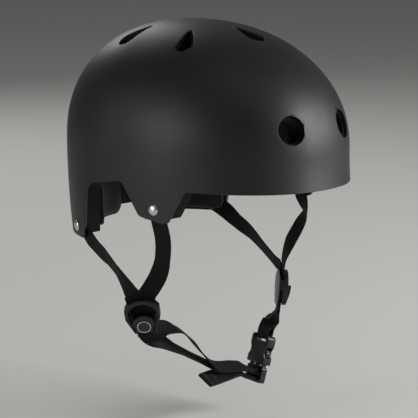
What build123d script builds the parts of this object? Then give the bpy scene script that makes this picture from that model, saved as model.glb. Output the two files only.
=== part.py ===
from build123d import *
import os
from math import atan2, ceil, cos, degrees, radians, sin

os.makedirs("parts", exist_ok=True)

# The helmet's frame: the origin is on the crown axis at the head's widest level,
# +Z is up, the front of the helmet faces -Y and +X is the wearer's left.

# Shell: half lengths from the crown axis and height above the widest level
shell_front = 154.8
shell_rear = 120.2
shell_half_width = 103.4
crown_height = 109.3
skirt_depth = 96
shell_wall = 3.0

# Roundness of the plan and of the front, rear and side profiles, as exponents
plan_roundness = 2.25
front_roundness = 2.07
rear_roundness = 2.21
side_roundness = 2.23

# How far the skirt draws in, as a share of the reach, at this depth below the widest level
draw_depth = 80
front_draw_share = -0.08
rear_draw_share = 0.04
side_draw_share = 0.027

# Rim: levels below the widest level, and where its corners lie forward of the crown axis
brow_drop = 28.7
ear_top_drop = 25
ear_back_drop = 33
lobe_drop = 85.5
flap_drop = 59
flap_start_drop = 54
ear_rear_foot = 46.5
ear_rear_top = 38.5
ear_crest = 10.5
flap_rear = 29.5
flap_front = 59
flap_root = 75.5
lobe_corner_radius = 4.5
ear_rear_radius = 13
ear_crest_radius = 9
flap_rear_radius = 7
flap_front_radius = 6.5
flap_root_radius = 6

# Relief in the shell's rear edge, between the two lobes
nape_relief_drop = 76
nape_relief_top_width = 66
nape_relief_foot_width = 88
nape_relief_radius = 6

# Crown vents: a ring of teardrops with the point towards the crown
crown_vent_count = 6
vent_round_radius = 8.4
vent_point_radius = 2.0
vent_ring_forward = 4.5
front_vent_lead = 5
vent_round_reach = 64
vent_point_reach = 43.5
rear_vent_share = 0.92
vent_liner_inset = 1.8

# Round vents, front pair and rear pair
round_vent_radius = 12.6
front_vent_side = 34
front_vent_height = 24.5
rear_vent_side = 34
rear_vent_height = 30

# Liner and pads
liner_gap = 0.3
liner_thickness = 17
liner_setback = 3.2
patch_gap = 0.15
patch_thickness = 1.0
patch_radius = 9
pad_gap = 0.15
pad_thickness = 7
pad_corner_radius = 9
pad_edge_radius = 3

# Clearances and the overrun of every cut
running_clearance = 0.05
seat_clearance = 0.15
webbing_gap = 0.5
washer_gap = 0.25
cut_overrun = 20

# Rivets: where they stand, forward of the crown axis and below the widest level
flap_rivet_forward = 46.3
flap_rivet_drop = 46.7
lobe_rivet_rear = 60.8
lobe_rivet_drop = 75.6
rivet_head_radius = 5
rivet_head_height = 2.1
rivet_shank_radius = 2.1
rivet_foot_radius = 3.6
rivet_foot_height = 0.9
washer_radius = 5.6
washer_thickness = 1.0

# Webbing
strap_width = 16
strap_thickness = 1.2
strap_end_length = 9
ply_gap = 0.2
pocket_clearance = 1.2
channel_clearance = 0.5

# Strap dividers
divider_forward = 26
divider_side = 92
divider_drop = 147.5
divider_left_drop = 154.5
divider_half_width = 15.5
divider_foot_half_width = 8.6
divider_top = 21
divider_foot = 12.6
divider_shoulder = 12
divider_taper = 3
divider_plate = 1.3
divider_rim = 4.2
divider_post = 3
divider_arch = 17.4
divider_arch_foot = 10.2
divider_corner_radius = 4
divider_turn = 42
divider_tilt_right = -18
divider_tilt_left = -5
divider_lean = 7

# Cam lever of a divider
lever_free_end = 7
lever_knob_radius = 9.8
lever_knob_drop = 3
lever_thickness = 4.6
lever_raise = 1.4
lever_clearance = 0.35
lever_pin_drop = 9
lever_root_radius = 2.55
lever_pin_radius = 1.1
lever_lift_left = 9
disc_radius = 6.6
disc_depth = 0.8
disc_proud = 0.35
disc_drop = 4.4

# Side-release buckle: its mouth's place, its lean and turn, then its sizes
buckle_forward = 22
buckle_side = 65.4
buckle_drop = 220.7
buckle_lean = 16
buckle_turn = 11.4
buckle_width = 25
buckle_thickness = 9
buckle_wall = 1.5
buckle_side_wall = 2.2
buckle_corner_radius = 2.4
female_corner_radius = 3.4
strap_slot_width = 17.2
female_length = 27.5
female_window_start = 6.5
female_window_end = 17
female_socket_depth = 18
female_bar = 3
female_bar_thickness = 3.4
female_slot = 3.4
loop_radius = 2.7
male_width = 23.5
male_gap = 2.6
male_shoulder = 2.6
male_slot = 3.9
male_bar = 3
male_bar_thickness = 3.2
male_foot = 2.0
male_thickness = 6
tongue_width = 4
tongue_length = 14
tongue_thickness = 4
arm_width = 2.6
arm_length = 15.6
arm_thickness = 4.6
arm_clearance = 0.3
arm_root_radius = 1.5
barb_start = 7.4
barb_proud = 2.3
tip_width = 1.4
adjuster_bend_radius = 3.8

# Where the two chin plies are sewn together, and where the tail ends
merge_side = -3
merge_forward = 26.5
merge_drop = 208.4
adjuster_gap = 0.35
tail_end_side = -21
tail_end_forward = 33
tail_end_drop = 217.5
tail_middle_side = 32
tail_middle_forward = 22
tail_middle_drop = 222.2
front_pull = 76
front_exit_length = 12
lobe_exit_length = 20
strap_end_gap = 0.3
divider_entry_side = 6
divider_exit_length = 3.6
strap_run_step = 5


def reach(size, roundness, draw_share, level, top):
    if level > 0:
        return size * (1 - (level / top) ** roundness) ** (1 / roundness)
    return size * (1 - draw_share * (level / draw_depth) ** 2)


def reaches(inset, level):
    top = crown_height - inset
    front = reach(shell_front - inset, front_roundness, front_draw_share, level, top)
    rear = reach(shell_rear - inset, rear_roundness, rear_draw_share, level, top)
    side = reach(shell_half_width - inset, side_roundness, side_draw_share, level, top)
    return front, rear, side


# Share of a quarter's corner at which its curve's handles end, so that it passes
# through the rounded plan's own middle point
quarter_middle = 0.5 ** (1 / plan_roundness)
handle_share = (8 * quarter_middle - 4) / 3

skirt_shares = (1, 0.75, 0.5, 0.25, 0)
crown_angles = (14, 27, 39, 50, 60, 69, 76, 82, 86, 88.5)


def dome(inset):
    """Solid head form, inset inside the shell's outer face."""
    top = crown_height - inset
    levels = [-skirt_depth * share for share in skirt_shares]
    levels += [top * sin(radians(angle)) for angle in crown_angles]
    with BuildPart() as form:
        for level in levels:
            front, rear, side = reaches(inset, level)
            with BuildSketch(Plane.XY.offset(level)):
                with BuildLine():
                    for start, end in (
                        ((side, 0), (0, -front)),
                        ((0, -front), (-side, 0)),
                        ((-side, 0), (0, rear)),
                        ((0, rear), (side, 0)),
                    ):
                        corner = (start[0] + end[0], start[1] + end[1])
                        first = tuple(a + (c - a) * handle_share for a, c in zip(start, corner))
                        second = tuple(b + (c - b) * handle_share for b, c in zip(end, corner))
                        Bezier(start, first, second, end)
                make_face()
        loft()
    return form.part


def side_of(forward, drop, inset=0):
    """Half width of the form at a place forward of the crown axis, below the widest level."""
    front, rear, side = reaches(inset, -drop)
    along = abs(forward) / (front if forward > 0 else rear)
    return side * (1 - along**plan_roundness) ** (1 / plan_roundness)


def turn_of(forward, drop):
    """Angle from sideways towards the front of the form's outward normal at a place."""
    front, rear, side = reaches(0, -drop)
    length = front if forward > 0 else rear
    lead = (abs(forward) / length) ** (plan_roundness - 1) / length
    out = (side_of(forward, drop) / side) ** (plan_roundness - 1) / side
    return degrees(atan2(lead, out)) * (1 if forward > 0 else -1)


def place(side, forward, out, up):
    """Point on the wearer's left (side 1) or right (side -1)."""
    return Vector(side * out, -forward, up)


def facing(side, turn, tilt=0):
    """Direction turned from sideways towards the front, and tilted up."""
    level = cos(radians(tilt))
    return Vector(side * level * cos(radians(turn)), -level * sin(radians(turn)), sin(radians(tilt)))


def turned(plane, angle):
    """The plane turned about its own z axis."""
    return Plane(plane.location * Location((0, 0, 0), (0, 0, angle)))


def rivet_plane(side, forward, drop):
    out = side_of(forward, drop)
    turn = turn_of(forward, drop)
    lean_in = side_of(forward, drop - rivet_head_radius) - side_of(forward, drop + rivet_head_radius)
    tilt = degrees(atan2(lean_in * cos(radians(turn)), 2 * rivet_head_radius))
    direction = facing(side, turn, -tilt)
    return Plane(origin=place(side, forward, out, -drop), x_dir=Vector(0, 0, 1).cross(direction), z_dir=direction)


rivet_places = (
    ("flap", flap_rivet_forward, flap_rivet_drop),
    ("lobe", -lobe_rivet_rear, lobe_rivet_drop),
)
sides = (("left", 1), ("right", -1))


def rim_cut(setback):
    """Everything below the rim line, drawn from the side; setback raises it all round."""
    back = shell_rear + cut_overrun
    front = shell_front * (1 - front_draw_share) + cut_overrun
    floor = skirt_depth + cut_overrun
    with BuildPart() as below:
        with BuildSketch(Plane.YZ):
            with BuildLine():
                line = FilletPolyline(
                    (back, -lobe_drop),
                    (ear_rear_foot, -lobe_drop),
                    (ear_rear_top, -ear_back_drop),
                    (-ear_crest, -ear_top_drop),
                    (-flap_rear, -flap_start_drop),
                    (-flap_front, -flap_drop),
                    (-flap_root, -brow_drop),
                    (-front, -brow_drop),
                    radius=[
                        lobe_corner_radius,
                        ear_rear_radius,
                        ear_crest_radius,
                        flap_rear_radius,
                        flap_front_radius,
                        flap_root_radius,
                    ],
                )
                Polyline(line @ 1, (-front, -floor), (back, -floor), line @ 0)
            make_face()
            if setback > 0:
                offset(amount=setback)
        extrude(amount=shell_half_width + cut_overrun, both=True)
        with BuildSketch(Plane.XZ.offset(-ear_rear_foot)):
            with BuildLine():
                nape = FilletPolyline(
                    (-nape_relief_foot_width / 2, -lobe_drop - setback),
                    (-nape_relief_top_width / 2, -nape_relief_drop + setback),
                    (nape_relief_top_width / 2, -nape_relief_drop + setback),
                    (nape_relief_foot_width / 2, -lobe_drop - setback),
                    radius=nape_relief_radius,
                )
                Polyline(nape @ 1, (nape_relief_foot_width / 2, -floor), (-nape_relief_foot_width / 2, -floor), nape @ 0)
            make_face()
        extrude(amount=-shell_rear)
    return below.part


def crown_vents(inset):
    """Teardrop prisms round the crown; inset makes them smaller."""
    with BuildPart() as vents:
        for number in range(crown_vent_count):
            angle = number * 360 / crown_vent_count
            share = rear_vent_share if number == crown_vent_count / 2 else 1
            ahead = vent_ring_forward + (front_vent_lead if cos(radians(angle)) > 0 else 0)
            with BuildSketch(turned(Plane((0, -ahead, 0)), angle)):
                with Locations((0, -vent_round_reach * share)):
                    Circle(vent_round_radius - inset)
                with Locations((0, -vent_point_reach * share - inset)):
                    Circle(vent_point_radius - inset / 2)
                make_hull()
            extrude(amount=crown_height + cut_overrun)
    return vents.part


def round_vent_plane(rear, side):
    height = rear_vent_height if rear else front_vent_height
    across = rear_vent_side if rear else front_vent_side
    front, back, half = reaches(0, height)
    length = back if rear else front
    along = length * (1 - (across / half) ** plan_roundness) ** (1 / plan_roundness)
    lead = (along / length) ** (plan_roundness - 1) / length
    out = (across / half) ** (plan_roundness - 1) / half
    top_share = height / crown_height
    rise = top_share ** (side_roundness - 1) / crown_height
    forward = -along if rear else along
    normal = Vector(side * out, lead if rear else -lead, rise)
    return Plane(origin=Vector(side * across, -forward, height), z_dir=normal)


def round_vents(inset):
    """Round holes square to the shell, two in front and two behind."""
    with BuildPart() as holes:
        for rear in (False, True):
            for name, side in sides:
                with BuildSketch(round_vent_plane(rear, side).offset(-2 * cut_overrun)):
                    Circle(round_vent_radius - inset)
                extrude(amount=3 * cut_overrun)
    return holes.part


# Outer shell: moulded dome with its vents, trimmed rim and rivet holes
with BuildPart() as outer_shell:
    add(dome(0))
    add(dome(shell_wall), mode=Mode.SUBTRACT)
    add(rim_cut(0), mode=Mode.SUBTRACT)
    add(crown_vents(0), mode=Mode.SUBTRACT)
    add(round_vents(0), mode=Mode.SUBTRACT)
    for kind, forward, drop in rivet_places:
        for name, side in sides:
            with BuildSketch(rivet_plane(side, forward, drop)):
                Circle(rivet_shank_radius + running_clearance)
            extrude(amount=cut_overrun, both=True, mode=Mode.SUBTRACT)
outer_shell.part.label = "outer_shell"
export_step(outer_shell.part, "parts/outer_shell.step")


def pad_prism(turn, height, wide, tall, radius):
    """Rounded block that reaches from the crown axis outwards at an angle from the front."""
    direction = Vector(sin(radians(turn)), -cos(radians(turn)), 0)
    with BuildPart() as block:
        with BuildSketch(Plane(origin=(0, 0, height), x_dir=Vector(0, 0, 1).cross(direction), z_dir=direction)):
            RectangleRounded(wide, tall, radius)
        extrude(amount=shell_front + cut_overrun)
    return block.part


def disc_prism(turn, height, radius):
    """Round bar that reaches from the crown axis outwards at an angle from the front."""
    direction = Vector(sin(radians(turn)), -cos(radians(turn)), 0)
    with BuildPart() as bar:
        with BuildSketch(Plane(origin=(0, 0, height), x_dir=Vector(0, 0, 1).cross(direction), z_dir=direction)):
            Circle(radius)
        extrude(amount=shell_front + cut_overrun)
    return bar.part


# Webbing ends lie flat behind the shell, in pockets of the liner: the front one runs
# down to the flap's foot and the rear one along its own pull towards the divider
strap_seat = shell_wall + webbing_gap + strap_thickness / 2
pocket_depth = strap_thickness + washer_thickness + rivet_foot_height + pocket_clearance
channel_inset = shell_wall + webbing_gap + strap_thickness + channel_clearance
rear_pull_drop = divider_drop - divider_top - lobe_rivet_drop
rear_pull = degrees(atan2(rear_pull_drop, lobe_rivet_rear + divider_forward))


def strap_end_plane(kind, side, forward, drop):
    """Plane on the webbing's middle at a rivet, its x axis along the webbing's run."""
    seat = rivet_plane(side, forward, drop).offset(-strap_seat)
    pull = front_pull if kind == "flap" else rear_pull
    out = seat.z_dir
    ahead = Vector(0, -1, 0) * cos(radians(pull)) - Vector(0, 0, 1) * sin(radians(pull))
    return Plane(origin=seat.origin, x_dir=ahead - out * ahead.dot(out), z_dir=out)


def seated(kind, side, forward, drop, start, end):
    """Stations of webbing that lies against the shell's inner face, past its rivet."""
    pull = front_pull if kind == "flap" else rear_pull
    count = 4
    stations = []
    for step in range(count + 1):
        along = start + (end - start) * step / count
        plane = rivet_plane(side, forward + along * cos(radians(pull)), drop + along * sin(radians(pull)))
        stations.append((plane.origin - plane.z_dir * strap_seat, plane.z_dir))
    return stations


def strap_pocket(kind, side, forward, drop):
    """Room for the webbing's end and the rivet's foot, and a channel along the webbing."""
    room = max(strap_width / 2, washer_radius) + pocket_clearance
    back = strap_end_length + pocket_clearance
    plane = strap_end_plane(kind, side, forward, drop)
    with BuildPart() as pocket:
        with BuildSketch(plane.offset(-cut_overrun)):
            with Locations((flap_drop / 2, 0)):
                Rectangle(flap_drop, 2 * room)
        extrude(amount=2 * cut_overrun)
        add(dome(channel_inset), mode=Mode.SUBTRACT)
        with BuildSketch(plane.offset(strap_seat - shell_wall - pocket_depth)):
            with Locations(((washer_radius - strap_end_length) / 2, 0)):
                RectangleRounded(washer_radius + back + pocket_clearance, 2 * room, pocket_clearance)
        extrude(amount=pocket_depth + shell_wall + cut_overrun)
    return pocket.part


# Foam liner: crushable head form, set back from the shell's rim
with BuildPart() as foam_liner:
    add(dome(shell_wall + liner_gap))
    add(dome(shell_wall + liner_gap + liner_thickness), mode=Mode.SUBTRACT)
    add(rim_cut(liner_setback), mode=Mode.SUBTRACT)
    add(crown_vents(vent_liner_inset), mode=Mode.SUBTRACT)
    add(round_vents(vent_liner_inset), mode=Mode.SUBTRACT)
    for kind, forward, drop in rivet_places:
        for name, side in sides:
            add(strap_pocket(kind, side, forward, drop), mode=Mode.SUBTRACT)
foam_liner.part.label = "foam_liner"
export_step(foam_liner.part, "parts/foam_liner.step")

# Comfort pads: name, angle from the front, height of the middle, width and height
patch_inset = shell_wall + liner_gap + liner_thickness + patch_gap
pad_inset = patch_inset + patch_thickness + pad_gap
brow_pad_width = 118
brow_pad_height = 34
brow_pad_middle = -7
side_pad_width = 84
side_pad_height = 34
side_pad_middle = 6
rear_pad_left_width = 80
rear_pad_height = 44
rear_pad_middle = -58.5
rear_pad_left_turn = 143
rear_pad_right_turn = 154
rear_pad_right_width = 72
side_pad_turn = 84
crown_pad_radius = 36
pads = (
    ("brow_pad", 0, brow_pad_middle, brow_pad_width, brow_pad_height),
    ("side_pad_left", side_pad_turn, side_pad_middle, side_pad_width, side_pad_height),
    ("side_pad_right", -side_pad_turn, side_pad_middle, side_pad_width, side_pad_height),
    ("rear_pad_left", rear_pad_left_turn, rear_pad_middle, rear_pad_left_width, rear_pad_height),
    ("rear_pad_right", -rear_pad_right_turn, rear_pad_middle, rear_pad_right_width, rear_pad_height),
)

with BuildPart() as pad_layer:
    add(dome(pad_inset))
    add(dome(pad_inset + pad_thickness), mode=Mode.SUBTRACT)

for pad_name, turn, middle, wide, tall in pads:
    with BuildPart() as pad:
        add(pad_layer.part)
        add(pad_prism(turn, middle, wide, tall, pad_corner_radius), mode=Mode.INTERSECT)
        fillet(pad.faces().sort_by(SortBy.AREA)[-2].edges(), pad_edge_radius)
    pad.part.label = pad_name
    export_step(pad.part, f"parts/{pad_name}.step")

with BuildPart() as crown_pad:
    add(pad_layer.part)
    with BuildSketch(Plane.XY):
        Circle(crown_pad_radius)
    extrude(amount=crown_height, mode=Mode.INTERSECT)
    fillet(crown_pad.faces().sort_by(SortBy.AREA)[-2].edges(), pad_edge_radius)
crown_pad.part.label = "crown_pad"
export_step(crown_pad.part, "parts/crown_pad.step")

# Hook-and-loop patches glued to the liner, one or two behind each pad
with BuildPart() as patch_layer:
    add(dome(patch_inset))
    add(dome(patch_inset + patch_thickness), mode=Mode.SUBTRACT)

patch_spread_share = 0.27
with BuildPart() as patch_bars:
    with BuildSketch(Plane.XY):
        Circle(patch_radius)
    extrude(amount=crown_height)
    for pad_name, turn, middle, wide, tall in pads:
        swing = degrees(patch_spread_share * wide / shell_half_width)
        for way in (-1, 1):
            add(disc_prism(turn + way * swing, middle, patch_radius))
with BuildPart() as hook_patches:
    add(patch_layer.part)
    add(patch_bars.part, mode=Mode.INTERSECT)
hook_patches.part.label = "hook_patches"
export_step(hook_patches.part, "parts/hook_patches.step")


# Rivets: domed head outside, shank through shell, webbing and washer, spread foot
rivet_grip = shell_wall + webbing_gap + strap_thickness + washer_gap + washer_thickness
for kind, forward, drop in rivet_places:
    with BuildPart() as rivets:
        for name, side in sides:
            plane = rivet_plane(side, forward, drop)
            with BuildSketch(plane.offset(-rivet_grip - rivet_foot_height)):
                Circle(rivet_foot_radius)
            extrude(amount=rivet_foot_height)
            with BuildSketch(plane.offset(-rivet_grip)):
                Circle(rivet_shank_radius)
            extrude(amount=rivet_grip + seat_clearance)
            with BuildSketch(plane.offset(seat_clearance)):
                Circle(rivet_head_radius)
            extrude(amount=rivet_head_height, taper=degrees(atan2(rivet_head_radius / 3, rivet_head_height)))
    rivets.part.label = f"{kind}_rivets"
    export_step(rivets.part, f"parts/{kind}_rivets.step")

with BuildPart() as rivet_washers:
    for kind, forward, drop in rivet_places:
        for name, side in sides:
            with BuildSketch(rivet_plane(side, forward, drop).offset(-rivet_grip)):
                Circle(washer_radius)
                Circle(rivet_shank_radius + running_clearance, mode=Mode.SUBTRACT)
            extrude(amount=washer_thickness)
rivet_washers.part.label = "rivet_washers"
export_step(rivet_washers.part, "parts/rivet_washers.step")


def divider_plane(side):
    """Divider's own plane: x across it, y up along the webbing, z outwards."""
    tilt = divider_tilt_left if side > 0 else divider_tilt_right
    out = facing(side, divider_turn, tilt)
    across = Vector(0, 0, 1).cross(out)
    drop = divider_left_drop if side > 0 else divider_drop
    level = Plane(origin=place(side, divider_forward, divider_side, -drop), x_dir=across, z_dir=out)
    return turned(level, -side * divider_lean)


def divider_outline(inset):
    """Shield shape of the divider: broad shoulders and a narrower foot."""
    half = divider_half_width - inset
    foot = divider_foot_half_width - inset
    return (
        (-half, divider_shoulder),
        (0, divider_top - inset),
        (half, divider_shoulder),
        (half, divider_taper),
        (foot, -divider_foot),
        (-foot, -divider_foot),
        (-half, divider_taper),
    )


def shield(inset):
    """Face of the divider's outline, with an arched top."""
    left, crown, right, lower, foot, far_foot, far_lower = divider_outline(inset)
    with BuildSketch() as face:
        with BuildLine():
            ThreePointArc(left, crown, right)
            Polyline(right, lower, foot, far_foot, far_lower, left)
        make_face()
        fillet(face.vertices().filter_by_position(Axis.Y, -divider_foot - inset, divider_taper), divider_corner_radius)
    return face.sketch


# Levels across a divider, from the back plate to the front frame
ply_step = strap_thickness + ply_gap
outer_ply = 0
inner_ply = -ply_step
channel_front = strap_thickness / 2 + ply_gap
channel_back = inner_ply - strap_thickness / 2 - ply_gap
lever_pin_level = channel_front + lever_root_radius
lever_face = lever_pin_level + lever_root_radius


def lever_gap():
    """Window in the front frame that the lever swings in, open at the foot."""
    half = divider_half_width - divider_post
    foot = divider_foot_half_width - divider_post + lever_clearance
    with BuildSketch() as face:
        with BuildLine():
            ThreePointArc((-half, divider_arch_foot), (0, divider_arch), (half, divider_arch_foot))
            Polyline(
                (half, divider_arch_foot),
                (half, divider_taper),
                (foot, -divider_foot - cut_overrun / 4),
                (-foot, -divider_foot - cut_overrun / 4),
                (-half, divider_taper),
                (-half, divider_arch_foot),
            )
        make_face()
    return face.sketch


def divider_body(side):
    """Back plate, side walls and front frame, with the pin's holes."""
    plane = divider_plane(side)
    with BuildPart() as body:
        with BuildSketch(plane.offset(channel_back - divider_plate)):
            add(shield(0))
        extrude(amount=divider_plate)
        with BuildSketch(plane.offset(channel_back)):
            for way in (-1, 1):
                with Locations((way * (divider_half_width - divider_post / 2), (divider_shoulder + divider_taper) / 2)):
                    Rectangle(divider_post, divider_shoulder - divider_taper)
        extrude(amount=channel_front - channel_back)
        with BuildSketch(plane.offset(channel_front)):
            add(shield(0))
            add(lever_gap(), mode=Mode.SUBTRACT)
        extrude(amount=divider_rim)
        with BuildSketch(lever_axis_plane(side)):
            Circle(lever_pin_radius + running_clearance)
        extrude(amount=divider_half_width, both=True, mode=Mode.SUBTRACT)
    return body.part


def lever_axis_plane(side):
    """Plane square to the lever's pin, in the middle of the divider."""
    plane = divider_plane(side)
    middle = plane.origin - plane.y_dir * lever_pin_drop + plane.z_dir * lever_pin_level
    return Plane(origin=middle, x_dir=plane.y_dir, z_dir=plane.x_dir)


def post_inner(level):
    """Half width between the posts at a level along the divider, where they taper."""
    top = divider_half_width - divider_post
    foot = divider_foot_half_width - divider_post + lever_clearance
    share = (divider_taper - level) / (divider_foot + cut_overrun / 4 + divider_taper)
    return top - (top - foot) * max(0, share)


def cam_lever(side):
    """Lever with a root on the pin, a round knob and a recess for the disc."""
    lift = lever_lift_left if side > 0 else 0
    axis = turned(lever_axis_plane(side), lift)
    reach_up = lever_pin_drop + lever_free_end
    root = post_inner(-lever_pin_drop - lever_root_radius) - lever_clearance
    shoulder = post_inner(divider_taper) - lever_clearance
    with BuildPart() as lever:
        with BuildSketch(axis):
            Circle(lever_root_radius)
            with BuildLine():
                Polyline(
                    (0, lever_root_radius),
                    (reach_up, lever_root_radius + lever_raise),
                    (reach_up, lever_root_radius + lever_raise - lever_thickness * 2 / 3),
                    (lever_root_radius, -lever_root_radius + lever_clearance),
                    (0, -lever_root_radius),
                    (0, lever_root_radius),
                )
            make_face()
        extrude(amount=shoulder, both=True)
        face = Plane(origin=axis.origin, x_dir=axis.z_dir, z_dir=axis.y_dir)
        with BuildSketch(face.offset(-cut_overrun / 2)):
            with BuildLine():
                Polyline(
                    (-root, -lever_root_radius),
                    (root, -lever_root_radius),
                    (root, lever_root_radius),
                    (shoulder, lever_pin_drop + divider_taper),
                    (shoulder, reach_up),
                    (-shoulder, reach_up),
                    (-shoulder, lever_pin_drop + divider_taper),
                    (-root, lever_root_radius),
                    (-root, -lever_root_radius),
                )
            make_face()
            with Locations((0, lever_pin_drop - lever_knob_drop)):
                Circle(lever_knob_radius, mode=Mode.INTERSECT)
        extrude(amount=cut_overrun, mode=Mode.INTERSECT)
        with BuildSketch(axis):
            Circle(lever_pin_radius + running_clearance)
        extrude(amount=divider_half_width, both=True, mode=Mode.SUBTRACT)
        with BuildSketch(disc_plane(side)):
            Circle(disc_radius + running_clearance)
        extrude(amount=cut_overrun / 4, mode=Mode.SUBTRACT)
    return lever.part


def disc_plane(side):
    """Bottom of the disc's recess, square to the lever's sloping face."""
    lift = lever_lift_left if side > 0 else 0
    axis = turned(lever_axis_plane(side), lift)
    slope = degrees(atan2(lever_raise, lever_pin_drop + lever_free_end))
    tilted = turned(axis, slope)
    along = lever_pin_drop - disc_drop
    level = lever_root_radius - disc_depth
    middle = tilted.origin + tilted.x_dir * along + tilted.y_dir * level
    return Plane(origin=middle, x_dir=tilted.z_dir, z_dir=tilted.y_dir)


for name, side in sides:
    with BuildPart() as divider:
        add(divider_body(side))
    divider.part.label = f"divider_{name}"
    export_step(divider.part, f"parts/divider_{name}.step")

    with BuildPart() as lever:
        add(cam_lever(side))
    lever.part.label = f"divider_lever_{name}"
    export_step(lever.part, f"parts/divider_lever_{name}.step")

    with BuildPart() as disc:
        with BuildSketch(disc_plane(side)):
            Circle(disc_radius)
        extrude(amount=disc_depth + disc_proud)
    disc.part.label = f"divider_disc_{name}"
    export_step(disc.part, f"parts/divider_disc_{name}.step")

with BuildPart() as divider_pins:
    for name, side in sides:
        half = post_inner(-lever_pin_drop) + divider_post * 0.4
        with BuildSketch(lever_axis_plane(side)):
            Circle(lever_pin_radius)
        extrude(amount=half, both=True)
divider_pins.part.label = "divider_pins"
export_step(divider_pins.part, "parts/divider_pins.step")


def blend_point(before, start, end, after, share):
    """Point of a smooth curve between start and end."""
    return (
        start * 2
        + (end - before) * share
        + (before * 2 - start * 5 + end * 4 - after) * share**2
        + (start * 3 - before - end * 3 + after) * share**3
    ) * 0.5


def smooth(stations):
    """Finer stations of middle point and face direction, on a smooth curve."""
    points = [middle for middle, face in stations]
    faces = [face.normalized() for middle, face in stations]
    points = [points[0] * 2 - points[1]] + points + [points[-1] * 2 - points[-2]]
    fine = []
    for number in range(len(stations) - 1):
        before, start, end, after = points[number : number + 4]
        steps = max(1, ceil((end - start).length / strap_run_step))
        for step in range(steps):
            share = step / steps
            face = faces[number] * (1 - share) + faces[number + 1] * share
            fine.append((blend_point(before, start, end, after, share), face))
    fine.append(stations[-1])
    return fine


def ribbon(stations, thickness=strap_thickness, first=None, final=None):
    """Flat webbing through the stations, each square to the run there."""
    last = len(stations) - 1
    with BuildPart() as webbing:
        for number, (middle, face) in enumerate(stations):
            run = stations[min(number + 1, last)][0] - stations[max(number - 1, 0)][0]
            if number == 0 and first:
                run = first
            if number == last and final:
                run = final
            with BuildSketch(Plane(origin=middle, x_dir=run.cross(face), z_dir=run)):
                Rectangle(strap_width, thickness)
        loft(ruled=True)
    return webbing.part


def between(start, end, side, table):
    """Stations of a hanging run: shares along it, then its bows forward, out and up as
    shares of its length, and the angles that its face is turned and tilted by."""
    chord = end - start
    stations = []
    for along, ahead, out, up, turn, tilt in table:
        bow = place(side, ahead, out, up) * chord.length
        stations.append((start + chord * along + bow, facing(side, turn, tilt)))
    return stations


def on(plane, across, along, level=0):
    """Point in a plane's own directions."""
    return plane.origin + plane.x_dir * across + plane.y_dir * along + plane.z_dir * level


# Runs from the shell to the dividers; their shares are in the order that between takes
front_run_shares = {
    "right": (
        (0.23, 0.12, 0, 0, 10, 0),
        (0.49, 0.17, 0, 0, 8, 0),
        (0.69, 0.15, 0, 0, 24, -4),
        (0.88, 0.07, 0, 0, 38, -12),
    ),
    "left": (
        (0.22, 0.13, 0, 0, 40, 0),
        (0.43, 0.08, 0, 0, 22, 0),
        (0.65, 0.01, 0, 0, 20, -2),
        (0.86, -0.02, 0, 0, 36, -4),
    ),
}
rear_run_shares = {
    "right": (
        (0.20, 0, 0, 0.01, -40, 0),
        (0.42, 0, 0, 0.04, -50, 0),
        (0.62, 0, 0, 0.04, -48, 0),
        (0.80, 0, 0, 0.02, -24, 0),
        (0.93, 0, 0, 0, 14, -8),
    ),
    "left": (
        (0.20, 0, 0, 0.01, 12, 0),
        (0.45, 0, 0, 0.04, 29, 0),
        (0.70, 0, 0, 0.02, 40, 0),
        (0.90, 0, 0, 0, 43, -3),
    ),
}

for name, side in sides:
    body = divider_plane(side)
    out = body.z_dir
    ahead = -side * divider_entry_side

    for kind, forward, drop, exit_length, table, level, across in (
        ("flap", flap_rivet_forward, flap_rivet_drop, front_exit_length, front_run_shares[name], outer_ply, ahead),
        ("lobe", -lobe_rivet_rear, lobe_rivet_drop, lobe_exit_length, rear_run_shares[name], inner_ply, -ahead),
    ):
        seat = strap_end_plane(kind, side, forward, drop)
        stations = seated(kind, side, forward, drop, -strap_end_length, exit_length)
        foot = stations.pop()
        entry = (on(body, across, divider_top + lever_pin_drop / 3, level), out)
        hanging = between(foot[0], entry[0], side, table)
        stations += smooth([foot] + hanging + [entry])
        stations += [(on(body, across * 2 / 3, divider_shoulder, level), out)]
        stations += [(on(body, 0, -lever_pin_drop / 2, level), out)]
        stations += [(on(body, 0, -lever_pin_drop, level), out)]
        strap_name = "front_strap_" + name if kind == "flap" else "rear_strap_" + name
        with BuildPart() as strap:
            add(ribbon(stations))
            with BuildSketch(Plane(origin=seat.origin, z_dir=seat.z_dir)):
                Circle(rivet_shank_radius + running_clearance)
            extrude(amount=cut_overrun, both=True, mode=Mode.SUBTRACT)
        strap.part.label = strap_name
        export_step(strap.part, f"parts/{strap_name}.step")

# Buckle's own plane: x across it, y up its axis from the mouth, z towards the chin
buckle_out = facing(1, buckle_turn)
buckle = Plane(
    origin=place(1, buckle_forward, buckle_side, -buckle_drop),
    x_dir=buckle_out.cross(Vector(0, 0, 1)),
    z_dir=-facing(1, buckle_turn, -buckle_lean),
)

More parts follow.
